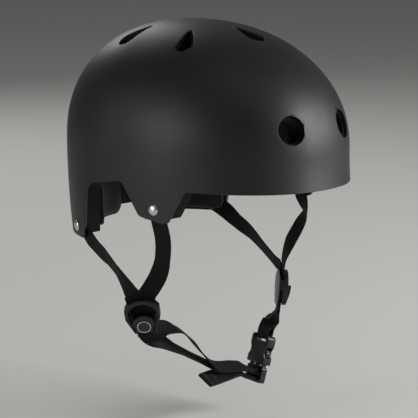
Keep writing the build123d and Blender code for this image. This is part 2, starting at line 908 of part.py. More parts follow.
# Female half: moulded sleeve with side windows and a bar for the webbing's loop
bar_level = female_length - female_bar
slot_level = bar_level - female_slot
with BuildPart() as buckle_female:
    with BuildSketch(buckle.offset(-buckle_thickness / 2)) as socket:
        with BuildLine():
            half = buckle_width / 2
            middle = (female_window_start + female_window_end) / 2
            notch = half - buckle_side_wall
            Polyline((-half, female_window_start), (-half, 0), (half, 0), (half, female_window_start))
            ThreePointArc((half, female_window_start), (notch, middle), (half, female_window_end))
            Polyline((half, female_window_end), (half, female_length), (-half, female_length), (-half, female_window_end))
            ThreePointArc((-half, female_window_end), (-notch, middle), (-half, female_window_start))
        make_face()
        fillet(socket.vertices().group_by(Axis.Y)[-1], female_corner_radius)
    extrude(amount=buckle_thickness)
    with BuildSketch(Plane(origin=buckle.origin, x_dir=buckle.x_dir, z_dir=buckle.y_dir)):
        Rectangle(buckle_width - 2 * buckle_side_wall, buckle_thickness - 2 * buckle_wall)
    extrude(amount=female_socket_depth, mode=Mode.SUBTRACT)
    with BuildSketch(buckle.offset(-buckle_thickness / 2 + buckle_wall)):
        with Locations((0, (female_window_start + female_window_end) / 2)):
            Rectangle(buckle_width + cut_overrun, female_window_end - female_window_start)
    extrude(amount=buckle_thickness - 2 * buckle_wall, mode=Mode.SUBTRACT)
    with BuildSketch(buckle.offset(-buckle_thickness)):
        with Locations((0, (slot_level + female_length + cut_overrun) / 2)):
            Rectangle(strap_slot_width, female_length + cut_overrun - slot_level)
    extrude(amount=2 * buckle_thickness, mode=Mode.SUBTRACT)
    with BuildSketch(Plane(origin=buckle.origin, x_dir=buckle.y_dir, z_dir=buckle.x_dir)):
        with Locations((bar_level + female_bar_thickness / 2, 0)):
            Circle(female_bar_thickness / 2)
        with Locations((female_length - (female_bar - female_bar_thickness / 2) / 2, 0)):
            Rectangle(female_bar - female_bar_thickness / 2, female_bar_thickness)
    extrude(amount=strap_slot_width / 2 + arm_clearance, both=True)
buckle_female.part.label = "buckle_female"
export_step(buckle_female.part, "parts/buckle_female.step")

# Male half: ladder frame for the adjuster webbing and a guide tongue
male_levels = [-male_gap - male_shoulder]
male_levels += [male_levels[0] - male_slot]
male_levels += [male_levels[1] - male_bar]
male_levels += [male_levels[2] - male_slot]
male_levels += [male_levels[3] - male_foot]
arm_middle = buckle_width / 2 - buckle_side_wall - arm_clearance - arm_width / 2
with BuildPart() as buckle_male:
    with BuildSketch(buckle.offset(-male_thickness / 2)) as frame:
        with BuildLine():
            half = male_width / 2
            Polyline((-half, -male_gap), (half, -male_gap), (half, male_levels[4]), (-half, male_levels[4]), close=True)
        make_face()
        fillet(frame.vertices(), buckle_corner_radius)
        for top, bottom in ((male_levels[0], male_levels[1]), (male_levels[2], male_levels[3])):
            with Locations((0, (top + bottom) / 2)):
                Rectangle(strap_slot_width, top - bottom, mode=Mode.SUBTRACT)
    extrude(amount=male_thickness)
    for level in (-male_thickness / 2, male_bar_thickness / 2):
        with BuildSketch(buckle.offset(level)):
            with Locations((0, (male_levels[1] + male_levels[2]) / 2)):
                Rectangle(strap_slot_width, male_bar)
        extrude(amount=(male_thickness - male_bar_thickness) / 2, mode=Mode.SUBTRACT)
    with BuildSketch(buckle.offset(-tongue_thickness / 2)):
        with Locations((0, (tongue_length - male_gap) / 2)):
            Rectangle(tongue_width, tongue_length + male_gap)
    extrude(amount=tongue_thickness)
    with BuildSketch(buckle.offset(-male_thickness)):
        with Locations((-arm_middle, -male_gap), (arm_middle, -male_gap)):
            Circle(arm_root_radius + running_clearance)
    extrude(amount=2 * male_thickness, mode=Mode.SUBTRACT)
buckle_male.part.label = "buckle_male"
export_step(buckle_male.part, "parts/buckle_male.step")

# Flexing arms with barbs that catch in the female half's windows
for name, way in (("front", 1), ("rear", -1)):
    inner = way * (arm_middle - arm_width / 2)
    outer = way * (arm_middle + arm_width / 2)
    with BuildPart() as arm:
        with BuildSketch(buckle.offset(-arm_thickness / 2)):
            with Locations((way * arm_middle, -male_gap)):
                Circle(arm_root_radius)
            with BuildLine():
                Polyline(
                    (inner, -male_gap),
                    (outer, -male_gap),
                    (outer, barb_start),
                    (outer + way * barb_proud, barb_start + arm_clearance),
                    (outer + way * barb_proud, (barb_start + arm_length) / 2),
                    (inner + way * tip_width, arm_length),
                    (inner, arm_length),
                    close=True,
                )
            make_face()
        extrude(amount=arm_thickness)
    arm.part.label = f"buckle_arm_{name}"
    export_step(arm.part, f"parts/buckle_arm_{name}.step")


# Webbing loop from the left divider round the female half's bar and back
body = divider_plane(1)
mid_ply = (outer_ply + inner_ply) / 2
loop_start = on(body, 0, -divider_foot - divider_exit_length, mid_ply)
loop_end = on(buckle, 0, female_length + 2 * female_bar)
loop_spread_shares = (0.3, 0.62)
loop_turns = (30, -8)
loop_middle = [(loop_start, body.z_dir, ply_step / 2)]
for share, turn in zip(loop_spread_shares, loop_turns):
    spread = ply_step / 2 + (loop_radius - ply_step / 2) * share
    loop_middle.append((loop_start + (loop_end - loop_start) * share, facing(1, turn, -buckle_lean / 2), spread))
loop_middle.append((loop_end, -buckle.z_dir, loop_radius))
outer_run = [(on(body, 0, -lever_pin_drop - strap_end_gap, outer_ply), body.z_dir)]
outer_run += smooth([(middle + face * spread, face) for middle, face, spread in loop_middle])
inner_run = [(on(body, 0, -lever_pin_drop - strap_end_gap, inner_ply), body.z_dir)]
inner_run += smooth([(middle - face * spread, face) for middle, face, spread in loop_middle])
bend_middle = bar_level - strap_thickness / 2 - running_clearance + loop_radius
bend_count = 8
bend = []
for step in range(bend_count + 1):
    angle = 180 * step / bend_count
    down = sin(radians(angle))
    over = cos(radians(angle))
    middle = on(buckle, 0, bend_middle - loop_radius * down, -loop_radius * over)
    bend.append((middle, -buckle.z_dir * over - buckle.y_dir * down))
with BuildPart() as chin_loop_left:
    add(ribbon(outer_run + bend + [(middle, -face) for middle, face in reversed(inner_run)]))
chin_loop_left.part.label = "chin_loop_left"
export_step(chin_loop_left.part, "parts/chin_loop_left.step")

# Two plies of webbing from the right divider to the place where they are sewn together
body = divider_plane(-1)
merge = Vector(merge_side, -merge_forward, -merge_drop)
merge_face = facing(-1, 130, 50)
bend_middle = (male_levels[1] + male_levels[2]) / 2
slot_in = on(buckle, 0, bend_middle + adjuster_bend_radius, male_thickness)
slot_out = on(buckle, 0, bend_middle - adjuster_bend_radius, male_thickness)
pull = (slot_in - merge).normalized()
pull = (pull - merge_face * pull.dot(merge_face)).normalized()
upper_run_shares = (
    (0.09, 0.04, 0, 0.05, 45, 5),
    (0.21, 0.05, 0, 0.14, 62, 45),
    (0.39, 0.06, 0, 0.18, 115, 72),
    (0.56, 0.06, 0, 0.15, 140, 60),
    (0.71, 0.05, 0, 0.08, 140, 52),
    (0.86, 0.03, 0, 0.03, 135, 50),
)
lower_run_shares = (
    (0.08, 0, 0, -0.01, 60, 0),
    (0.22, 0, 0, 0, 98, 36),
    (0.46, 0, 0, 0, 120, 56),
    (0.72, 0, 0, 0, 128, 58),
)
for name, level, way, table in (
    ("upper", outer_ply, 1, upper_run_shares),
    ("lower", inner_ply, -1, lower_run_shares),
):
    start = on(body, 0, -divider_foot - divider_exit_length, level)
    end = merge + merge_face * (way * ply_step / 2)
    hanging = between(start, end, -1, table)
    stations = [(on(body, 0, -lever_pin_drop - strap_end_gap, level), body.z_dir)]
    stations += smooth([(start, body.z_dir)] + hanging + [(end, merge_face)])
    with BuildPart() as chin_ply:
        add(ribbon(stations, final=pull))
    chin_ply.part.label = f"chin_strap_{name}"
    export_step(chin_ply.part, f"parts/chin_strap_{name}.step")

# Adjuster webbing: both plies sewn flat, round the male half's middle bar, then the tail
adjuster_start = merge + pull * adjuster_gap
adjuster_shares = (
    (0.16, 0, 0, -0.01, 134, 55),
    (0.34, -0.01, 0, 0, 130, 60),
    (0.55, -0.01, 0, 0.02, 134, 58),
    (0.76, 0, 0, 0.03, 150, 50),
    (0.92, 0, 0, 0.01, 170, 68),
)
tail_end = Vector(tail_end_side, -tail_end_forward, -tail_end_drop)
tail_middle = Vector(tail_middle_side, -tail_middle_forward, -tail_middle_drop)
adjuster = smooth(
    [(adjuster_start, merge_face)]
    + between(adjuster_start, slot_in, -1, adjuster_shares)
    + [(slot_in, buckle.y_dir)]
)
for step in range(bend_count + 1):
    angle = 180 * step / bend_count
    down = cos(radians(angle))
    over = sin(radians(angle))
    middle = on(buckle, 0, bend_middle + adjuster_bend_radius * down, -adjuster_bend_radius * over)
    adjuster.append((middle, buckle.y_dir * down - buckle.z_dir * over))
tail_shares = (
    (0.30, 0, 0, 0, 160, 56),
    (0.62, 0, 0, 0, 150, 54),
    (1.0, 0, 0, 0, 134, 66),
)
tail_end_shares = (
    (0.35, -0.02, 0, 0, 114, 58),
    (0.70, -0.01, 0, 0, 109, 50),
    (1.0, 0, 0, 0, 109, 55),
)
tail = between(slot_out, tail_middle, -1, tail_shares) + between(tail_middle, tail_end, -1, tail_end_shares)
adjuster += smooth([(slot_out, -buckle.y_dir)] + [(middle, -face) for middle, face in tail])
with BuildPart() as adjuster_strap:
    add(ribbon(adjuster, 2 * strap_thickness + ply_gap, first=pull))
adjuster_strap.part.label = "adjuster_strap"
export_step(adjuster_strap.part, "parts/adjuster_strap.step")
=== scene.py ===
from math import asin, atan2, ceil, cos, degrees, pi, radians, sin

import bpy
from mathutils import Matrix, Vector


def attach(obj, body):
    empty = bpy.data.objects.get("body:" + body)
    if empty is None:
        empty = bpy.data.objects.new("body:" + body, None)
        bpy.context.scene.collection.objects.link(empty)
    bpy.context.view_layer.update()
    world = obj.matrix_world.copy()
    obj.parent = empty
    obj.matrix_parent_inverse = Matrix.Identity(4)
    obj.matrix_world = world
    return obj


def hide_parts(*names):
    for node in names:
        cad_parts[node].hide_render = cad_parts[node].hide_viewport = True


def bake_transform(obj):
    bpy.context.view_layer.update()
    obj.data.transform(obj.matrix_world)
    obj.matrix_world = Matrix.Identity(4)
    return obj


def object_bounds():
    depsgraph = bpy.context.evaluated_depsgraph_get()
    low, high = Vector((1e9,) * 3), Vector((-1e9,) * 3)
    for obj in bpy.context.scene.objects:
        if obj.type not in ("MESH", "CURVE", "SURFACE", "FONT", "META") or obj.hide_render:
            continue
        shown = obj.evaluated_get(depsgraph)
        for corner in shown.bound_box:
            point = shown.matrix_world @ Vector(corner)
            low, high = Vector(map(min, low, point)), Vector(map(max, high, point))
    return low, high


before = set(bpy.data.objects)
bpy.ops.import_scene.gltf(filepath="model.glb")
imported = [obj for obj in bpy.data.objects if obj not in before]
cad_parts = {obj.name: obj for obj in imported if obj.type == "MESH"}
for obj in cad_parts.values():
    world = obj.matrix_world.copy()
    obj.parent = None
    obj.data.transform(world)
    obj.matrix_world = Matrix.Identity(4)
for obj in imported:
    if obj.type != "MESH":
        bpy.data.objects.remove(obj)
cad_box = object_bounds()
bpy.ops.object.select_all(action="DESELECT")
mm = 0.001

# The camera stands a metre and a half off, ahead of the wearer's right ear and a little
# above, with a long lens, so that the near strap and the far buckle keep their true sizes.
view_target = Vector((0, -18.6, -62.9)) * mm
view_distance = 1542 * mm
view_turn = radians(46.94)
view_rise = radians(10.6)
view_lens = 145.7
back = Vector((-sin(view_turn) * cos(view_rise), -cos(view_turn) * cos(view_rise), sin(view_rise)))
bpy.ops.object.camera_add(location=view_target + back * view_distance)
camera = bpy.context.object
camera.rotation_euler = (-back).to_track_quat("-Z", "Y").to_euler()
camera.data.lens = view_lens
bpy.context.scene.camera = camera
bpy.context.scene.view_settings.view_transform = "Standard"


# Studio: a broad pale floor that the drawn buckle still clears, and large soft lamps, the key
# ahead of the helmet, a low fill from the near side and a weak rim lamp behind.
def linear(hex_colour):
    """Linear colour of an sRGB hex value."""
    parts = [int(hex_colour[i : i + 2], 16) / 255 for i in (1, 3, 5)]
    return [c / 12.92 if c <= 0.04045 else ((c + 0.055) / 1.055) ** 2.4 for c in parts] + [1]


def add_node(material, kind, settings=None, links=None):
    """One shader node with its settings and its links."""
    made = material.node_tree.nodes.new(kind)
    for name, value in (settings or {}).items():
        if isinstance(name, int) or name in made.inputs:
            made.inputs[name].default_value = value
        else:
            setattr(made, name, value)
    for name, source in (links or {}).items():
        material.node_tree.links.new(source, made.inputs[name])
    return made


def new_material(name):
    """An empty node material and the coordinates of its object."""
    material = bpy.data.materials.new(name)
    material.use_nodes = True
    material.node_tree.nodes.clear()
    return material, add_node(material, "ShaderNodeTexCoord").outputs["Object"]


def finish_material(material, settings, links=None):
    """The surface shader and output that end a material."""
    shader = add_node(material, "ShaderNodeBsdfPrincipled", settings, links)
    add_node(material, "ShaderNodeOutputMaterial", links={"Surface": shader.outputs["BSDF"]})


floor_gap = 27 * mm
floor_size = 12
floor_material, spot = new_material("pale_floor_paint")
finish_material(floor_material, {"Base Color": linear("#dfdedb"), "Roughness": 0.75})
bpy.ops.mesh.primitive_plane_add(size=floor_size, location=(0, 0, cad_box[0].z - floor_gap))
floor = bpy.context.object
floor.name = "floor"
floor.data.materials.append(floor_material)

lamps = (
    ("key", (1.3, -1.9, 0.75), 1.5, 64),
    ("overhead", (-0.7, -0.5, 2.2), 1.8, 2.5),
    ("side_fill", (-2.1, 0.7, 0.35), 1.2, 12),
    ("rim", (0.9, 1.9, 1.2), 1.0, 10),
)
lamp_aim = Vector((0, 0, 0))
for name, place, size, power in lamps:
    bpy.ops.object.light_add(type="AREA", location=place)
    lamp = bpy.context.object
    lamp.name = name
    lamp.data.shape = "DISK"
    lamp.data.size = size
    lamp.data.energy = power
    lamp.rotation_euler = (lamp_aim - lamp.location).to_track_quat("-Z", "Y").to_euler()

world = bpy.data.worlds.new("studio")
bpy.context.scene.world = world
world.use_nodes = True
world.node_tree.nodes["Background"].inputs["Color"].default_value = linear("#f1f0ee")
world.node_tree.nodes["Background"].inputs["Strength"].default_value = 0.13


# Outer shell: one dome of injection-moulded ABS, 3 mm thick, with a spark-eroded matt black
# face. Its rim dips behind the ears to two lobes and in front of them to a rivet flap, and
# it is pierced by six teardrop crown vents and four round vents.
shell_front = 154.8 * mm
shell_rear = 120.2 * mm
shell_half_width = 103.4 * mm
crown_height = 109.3 * mm
skirt_depth = 96 * mm
shell_wall = 3.0 * mm
plan_roundness = 2.25
front_roundness = 2.07
rear_roundness = 2.21
side_roundness = 2.23
draw_depth = 80 * mm
front_draw_share = -0.08
rear_draw_share = 0.04
side_draw_share = 0.027
cut_overrun = 20 * mm
dome_columns = 216
dome_rows = 120
flat_rows_share = 0.1
least_edge = 0.5 * mm


def reach(size, roundness, draw_share, level, top):
    """Distance from the crown axis to the form at a level."""
    if level > 0:
        return size * max(0, 1 - (level / top) ** roundness) ** (1 / roundness)
    return size * (1 - draw_share * (level / draw_depth) ** 2)


def reaches(inset, level):
    """Front, rear and side distances of the form at a level."""
    top = crown_height - inset
    front = reach(shell_front - inset, front_roundness, front_draw_share, level, top)
    rear = reach(shell_rear - inset, rear_roundness, rear_draw_share, level, top)
    side = reach(shell_half_width - inset, side_roundness, side_draw_share, level, top)
    return front, rear, side


def dome_point(inset, turn, rise):
    """Point of the form's surface for a direction of a sphere that is shaped into it."""
    if rise >= 0:
        level = (crown_height - inset) * sin(rise)
        shrink = 1
    else:
        share = -rise / (pi / 2)
        level = -skirt_depth * min(1, share / (1 - flat_rows_share))
        shrink = min(1, (1 - share) / flat_rows_share)
    front, rear, side = reaches(inset, level)
    if side < 1e-9:
        return Vector((0, 0, level))
    length = rear if sin(turn) > 0 else front
    across = abs(cos(turn)) / side
    along = abs(sin(turn)) / length
    radius = (across**plan_roundness + along**plan_roundness) ** (-1 / plan_roundness) * shrink
    return Vector((radius * cos(turn), radius * sin(turn), level))


def add_dome(name, inset):
    """A sphere shaped into the closed head form."""
    bpy.ops.mesh.primitive_uv_sphere_add(segments=dome_columns, ring_count=dome_rows)
    made = bpy.context.object
    made.name = name
    for vertex in made.data.vertices:
        turn = atan2(vertex.co.y, vertex.co.x)
        rise = asin(max(-1, min(1, vertex.co.z)))
        vertex.co = dome_point(inset, turn, rise)
    return made


def only(piece):
    """Selects one object and makes it the active one."""
    if bpy.context.mode != "OBJECT":
        bpy.ops.object.mode_set(mode="OBJECT")
    bpy.ops.object.select_all(action="DESELECT")
    piece.select_set(True)
    bpy.context.view_layer.objects.active = piece


def edit(piece):
    """Opens a piece in edit mode with all of it selected."""
    only(piece)
    bpy.ops.object.mode_set(mode="EDIT")
    bpy.ops.mesh.select_all(action="SELECT")


def join(pieces):
    """Makes one object of several, named as the first."""
    only(pieces[0])
    for piece in pieces:
        piece.select_set(True)
    bpy.ops.object.join()
    return pieces[0]


def finish_with(piece, kind, **settings):
    """Adds a modifier with its settings and applies it."""
    modifier = piece.modifiers.new(kind.lower(), kind)
    for name, value in settings.items():
        setattr(modifier, name, value)
    only(piece)
    bpy.ops.object.modifier_apply(modifier=modifier.name)


def cut(piece, cutters):
    """Cuts closed shapes out of a piece."""
    for cutter in cutters:
        finish_with(piece, "BOOLEAN", operation="DIFFERENCE", solver="EXACT", object=cutter)
        bpy.data.objects.remove(cutter)
    edit(piece)
    bpy.ops.mesh.remove_doubles(threshold=least_edge)
    bpy.ops.object.mode_set(mode="OBJECT")


def extrude_closed(piece, way):
    """Extrudes a flat face into a closed block."""
    edit(piece)
    bpy.ops.mesh.extrude_region_move(TRANSFORM_OT_translate={"value": way})
    bpy.ops.mesh.select_all(action="SELECT")
    bpy.ops.mesh.normals_make_consistent(inside=False)
    bpy.ops.object.mode_set(mode="OBJECT")


# Rim seen from the side, in millimetres: place behind the crown axis, level, corner radius
rim_corners = (
    (46.5, -85.5, 4.5),
    (38.5, -33, 13),
    (-10.5, -25, 9),
    (-29.5, -54, 7),
    (-59, -59, 6.5),
    (-75.5, -28.7, 6),
)
rim_back = 140
rim_front = -187
rim_floor = -116
nape_top_half = 33
nape_foot_half = 44
nape_level = -76
nape_radius = 6
arc_step = 1.2


def rounded(corners, setback):
    """Outline in millimetres, grown by the setback, its inner corners drawn as arcs."""
    points = []
    for number, (across, up, radius) in enumerate(corners):
        here = Vector((across, up))
        before = (Vector(corners[number - 1][:2]) - here).normalized()
        after = (Vector(corners[(number + 1) % len(corners)][:2]) - here).normalized()
        way = -1 if before.x * after.y - before.y * after.x > 0 else 1
        middle = (before + after).normalized()
        half = before.angle(after) / 2
        corner = here - middle * setback * way / sin(half)
        if radius == 0:
            points.append(corner)
            continue
        radius += setback * way
        centre = corner + middle * radius / sin(half)
        arm = corner + before * radius * cos(half) / sin(half) - centre
        sweep = (pi - 2 * half) * way
        steps = max(2, ceil(radius * abs(sweep) / arc_step))
        points += [centre + Matrix.Rotation(sweep * step / steps, 2) @ arm for step in range(steps + 1)]
    return points


def rim_cutters(setback):
    """What is cut away below the rim, and the relief between the two rear lobes."""
    lobe_level = rim_corners[0][1]
    below = ((rim_back, lobe_level, 0),) + rim_corners
    below += ((rim_front, rim_corners[-1][1], 0), (rim_front, rim_floor, 0), (rim_back, rim_floor, 0))
    nape = (
        (-nape_foot_half, rim_floor, 0),
        (nape_foot_half, rim_floor, 0),
        (nape_foot_half, lobe_level - setback, 0),
        (nape_top_half, nape_level + setback, nape_radius),
        (-nape_top_half, nape_level + setback, nape_radius),
        (-nape_foot_half, lobe_level - setback, 0),
    )
    half = shell_half_width + cut_overrun
    cutters = []
    for outline in (rounded(below, setback), rounded(nape, 0)):
        bpy.ops.mesh.primitive_circle_add(vertices=len(outline), fill_type="NGON")
        cutters.append(bpy.context.object)
        for vertex, (flat, up) in zip(cutters[-1].data.vertices, outline):
            if len(cutters) == 1:
                vertex.co = (-half, flat * mm, up * mm)
            else:
                vertex.co = (flat * mm, rim_corners[0][0] * mm, up * mm)
    extrude_closed(cutters[0], (2 * half, 0, 0))
    extrude_closed(cutters[1], (0, shell_rear, 0))
    return cutters


# Vents: six teardrops in a ring that lies just ahead of the crown, and four round holes
crown_vent_count = 6
vent_ring_forward = 4.5 * mm
front_vent_lead = 5 * mm
vent_round_reach = 64 * mm
vent_round_radius = 8.4 * mm
vent_point_reach = 43.5 * mm
vent_point_radius = 2.0 * mm
rear_vent_share = 0.92
round_vent_radius = 12.6 * mm
front_vent_side = 34 * mm
front_vent_height = 24.5 * mm
rear_vent_side = 34 * mm
rear_vent_height = 30 * mm


def round_bar(centre, way, radius, length, sides=96):
    """A closed bar along a direction, for cutting."""
    turn = way.to_track_quat("Z", "Y").to_euler()
    bpy.ops.mesh.primitive_cylinder_add(
        vertices=sides, radius=radius, depth=length, location=centre, rotation=turn
    )
    bpy.ops.object.transform_apply()
    return bpy.context.object


def vent_cutters(inset):
    """Teardrop and round bars that open the vents, smaller by the inset."""
    cutters = []
    for number in range(crown_vent_count):
        share = rear_vent_share if number == crown_vent_count / 2 else 1
        ends = []
        for distance, radius in (
            (vent_round_reach * share, vent_round_radius - inset),
            (vent_point_reach * share + inset, vent_point_radius - inset / 2),
        ):
            bpy.ops.mesh.primitive_circle_add(vertices=72, radius=radius, location=(0, -distance, 0))
            bpy.ops.object.transform_apply()
            ends.append(bpy.context.object)
        vent = join(ends)
        edit(vent)
        bpy.ops.mesh.convex_hull()
        bpy.ops.mesh.select_all(action="SELECT")
        bpy.ops.mesh.dissolve_limited(angle_limit=radians(1))
        extrude_closed(vent, (0, 0, crown_height + cut_overrun))
        turn = number * 2 * pi / crown_vent_count
        vent.location = (0, -vent_ring_forward - (front_vent_lead if cos(turn) > 0 else 0), 0)
        vent.rotation_euler = (0, 0, turn)
        only(vent)
        bpy.ops.object.transform_apply()
        cutters.append(vent)
    round_vents = ((0, front_vent_side, front_vent_height), (1, rear_vent_side, rear_vent_height))
    for rear, across, height in round_vents:
        front, behind, half = reaches(0, height)
        length = behind if rear else front
        along = length * (1 - (across / half) ** plan_roundness) ** (1 / plan_roundness)
        lead = (along / length) ** (plan_roundness - 1) / length * (1 if rear else -1)
        outward = (across / half) ** (plan_roundness - 1) / half
        rise = (height / crown_height) ** (side_roundness - 1) / crown_height
        for side in (1, -1):
            way = Vector((side * outward, lead, rise)).normalized()
            middle = Vector((side * across, along if rear else -along, height))
            start = middle - way * cut_overrun / 2
            cutters.append(round_bar(start, way, round_vent_radius - inset, 3 * cut_overrun))
    return join(cutters)


# Rivets stand square to the shell: place ahead of the crown axis, and depth below the
# widest level, of the one in the flap and of the one in the rear lobe
rivet_places = {"flap": (46.3 * mm, 46.7 * mm), "lobe": (-60.8 * mm, 75.6 * mm)}
rivet_shank_radius = 2.1 * mm
rivet_head_radius = 5 * mm


def axes_at(origin, x_dir, z_dir):
    """A place with its own axes, z facing z_dir and x along x_dir."""
    z_axis = z_dir.normalized()
    x_axis = (x_dir - z_axis * x_dir.dot(z_axis)).normalized()
    made = Matrix((x_axis, z_axis.cross(x_axis), z_axis)).transposed().to_4x4()
    made.translation = origin
    return made


def facing(side, turn, tilt=0):
    """Direction turned from sideways towards the front, and tilted up, in degrees."""
    level = cos(radians(tilt))
    return Vector((side * level * cos(radians(turn)), -level * sin(radians(turn)), sin(radians(tilt))))


def side_of(forward, drop):
    """Half width of the shell at a place."""
    front, rear, side = reaches(0, -drop)
    length = front if forward > 0 else rear
    return side * (1 - (abs(forward) / length) ** plan_roundness) ** (1 / plan_roundness)


def rivet_axes(side, forward, drop):
    """Place on the shell's face with z square to it."""
    front, rear, half = reaches(0, -drop)
    out = side_of(forward, drop)
    length = front if forward > 0 else rear
    lead = (abs(forward) / length) ** (plan_roundness - 1) / length
    turn = degrees(atan2(lead, (out / half) ** (plan_roundness - 1) / half)) * (1 if forward > 0 else -1)
    lean_in = side_of(forward, drop - rivet_head_radius) - side_of(forward, drop + rivet_head_radius)
    tilt = degrees(atan2(lean_in * cos(radians(turn)), 2 * rivet_head_radius))
    way = facing(side, turn, -tilt)
    return axes_at(Vector((side * out, -forward, -drop)), Vector((0, 0, 1)).cross(way), way)


def head_form(name, outer_inset, inner_inset, cutters):
    """A wall between two head forms, opened by the cutters."""
    wall = add_dome(name, outer_inset)
    inner = add_dome("inner_face", inner_inset)
    edit(inner)
    bpy.ops.mesh.flip_normals()
    join([wall, inner])
    cut(wall, cutters)
    return wall


holes = []
for forward, drop in rivet_places.values():
    for side in (1, -1):
        axes = rivet_axes(side, forward, drop)
        holes.append(round_bar(axes.translation, axes.col[2].to_3d(), rivet_shank_radius, cut_overrun, 20))
openings = rim_cutters(0) + [vent_cutters(0), join(holes)]
outer_shell = head_form("outer_shell_moulding", 0, shell_wall, openings)
edge_softness = 0.45 * mm
only(outer_shell)
bpy.ops.object.shade_smooth()
finish_with(
    outer_shell,
    "BEVEL",
    limit_method="ANGLE",
    angle_limit=radians(45),
    width=edge_softness,
    segments=3,
    use_clamp_overlap=False,
    loop_slide=False,
    harden_normals=True,
)

# Moulded ABS from a spark-eroded tool: near black and matt, with a fine even grain. The real
# grain of about 0.1 mm is too fine to show, so it is drawn at 0.8 mm.
abs_grain = 0.8 * mm
abs_material, spot = new_material("moulded_abs")
grain = add_node(
    abs_material,
    "ShaderNodeTexNoise",
    {"Scale": 1 / abs_grain, "Detail": 2.0, "Roughness": 0.6},
    {"Vector": spot},
)
handling = add_node(abs_material, "ShaderNodeTexNoise", {"Scale": 24.0, "Detail": 4.0}, {"Vector": spot})
matt = add_node(
    abs_material,
    "ShaderNodeMapRange",
    {"From Min": 0.3, "From Max": 0.7, "To Min": 0.44, "To Max": 0.53},
    {"Value": handling.outputs["Fac"]},
)
eroded = add_node(
    abs_material, "ShaderNodeBump", {"Strength": 0.3, "Distance": 0.06 * mm}, {"Height": grain.outputs["Fac"]}
)
finish_material(
    abs_material,
    {"Base Color": linear("#171719"), "IOR": 1.5},
    {"Roughness": matt.outputs["Result"], "Normal": eroded.outputs["Normal"]},
)
outer_shell.data.materials.append(abs_material)
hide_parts("outer_shell")
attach(outer_shell, "helmet")


# Foam liner: one block of black expanded polystyrene, 17 mm thick, glued inside the shell
# and set back from its rim. Pockets behind the rivets take the webbing's ends.
liner_gap = 0.3 * mm
liner_thickness = 17 * mm
liner_setback = 3.2
vent_liner_inset = 1.8 * mm
liner_edge_softness = 0.5 * mm
bead_size = 3.2 * mm
webbing_gap = 0.5 * mm
strap_thickness = 1.2 * mm
strap_width = 16 * mm
strap_seat = shell_wall + webbing_gap + strap_thickness / 2
pocket_depth = 4.3 * mm
channel_inset = 5.2 * mm
pocket_half_width = 9.2 * mm
pocket_back = 10.2 * mm
pocket_ahead = 59 * mm
pocket_washer_end = 6.8 * mm
divider_top = 21 * mm
divider_drop = 147.5 * mm
divider_left_drop = 154.5 * mm
divider_forward = 26 * mm
lobe_forward, lobe_drop = rivet_places["lobe"]
rear_pull = degrees(atan2(divider_drop - divider_top - lobe_drop, divider_forward - lobe_forward))
strap_pulls = {"flap": 76, "lobe": rear_pull}


def strap_end_axes(kind, side):
    """Place on the middle of the webbing behind a rivet, its x axis along the webbing."""
    seat = rivet_axes(side, *rivet_places[kind])
    way = seat.col[2].to_3d()
    pull = radians(strap_pulls[kind])
    return axes_at(seat.translation - way * strap_seat, Vector((0, -cos(pull), -sin(pull))), way)


def box_between(low, high, axes):
    """A closed block between two corners, on its own axes."""
    bpy.ops.mesh.primitive_cube_add(size=1)
    block = bpy.context.object
    for vertex in block.data.vertices:
        vertex.co = [high[n] if vertex.co[n] > 0 else low[n] for n in range(3)]
    block.data.transform(axes)
    return block


pockets = []
channel_form = add_dome("channel_form", channel_inset)
for kind in rivet_places:
    for side in (1, -1):
        axes = strap_end_axes(kind, side)
        floor_level = strap_seat - shell_wall - pocket_depth
        low = (-pocket_back, -pocket_half_width, floor_level)
        pockets.append(box_between(low, (pocket_washer_end, pocket_half_width, cut_overrun), axes))
        low = (0, -pocket_half_width, -cut_overrun)
        channel = box_between(low, (pocket_ahead, pocket_half_width, cut_overrun), axes)
        finish_with(channel, "BOOLEAN", operation="DIFFERENCE", solver="EXACT", object=channel_form)
        pockets.append(channel)
bpy.data.objects.remove(channel_form)
foam_liner = head_form(
    "foam_liner_block",
    shell_wall + liner_gap,
    shell_wall + liner_gap + liner_thickness,
    rim_cutters(liner_setback) + [vent_cutters(vent_liner_inset)] + pockets,
)
only(foam_liner)
bpy.ops.object.shade_smooth()
finish_with(
    foam_liner,
    "BEVEL",
    limit_method="ANGLE",
    angle_limit=radians(50),
    width=liner_edge_softness,
    segments=3,
    use_clamp_overlap=False,
    loop_slide=False,
    harden_normals=True,
)

eps_material, spot = new_material("expanded_polystyrene")
beads = add_node(
    eps_material,
    "ShaderNodeTexVoronoi",
    {"feature": "DISTANCE_TO_EDGE", "Scale": 1 / bead_size},
    {"Vector": spot},
)
seams = add_node(
    eps_material,
    "ShaderNodeMapRange",
    {"From Max": 0.16, "To Min": 0.0, "To Max": 1.0},
    {"Value": beads.outputs["Distance"]},
)
tone = add_node(
    eps_material,
    "ShaderNodeMix",
    {"data_type": "RGBA", 6: linear("#0a0a0b"), 7: linear("#141416")},
    {0: seams.outputs["Result"]},
)
dimples = add_node(
    eps_material,
    "ShaderNodeBump",
    {"Strength": 0.6, "Distance": 0.3 * mm},
    {"Height": seams.outputs["Result"]},
)
finish_material(
    eps_material,
    {"Roughness": 0.8, "IOR": 1.5, "Specular IOR Level": 0.25},
    {"Base Color": tone.outputs[2], "Normal": dimples.outputs["Normal"]},
)
foam_liner.data.materials.append(eps_material)
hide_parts("foam_liner")
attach(foam_liner, "helmet")


# Comfort pads: soft foam laminated with black brushed knit, held to the liner by hook tape.
# Each swells from its own solid as cloth under pressure, flat on the liner and crowned
# towards the head, with an overlocked seam round its edge.
merge_distance = 0.01 * mm
pad_voxel = 2.5 * mm
pad_shrink = 0.6 * mm
pad_swell_cap = 1.3 * mm
pad_pressure = 4.0
pad_frames = 20
knit_size = 1.3 * mm

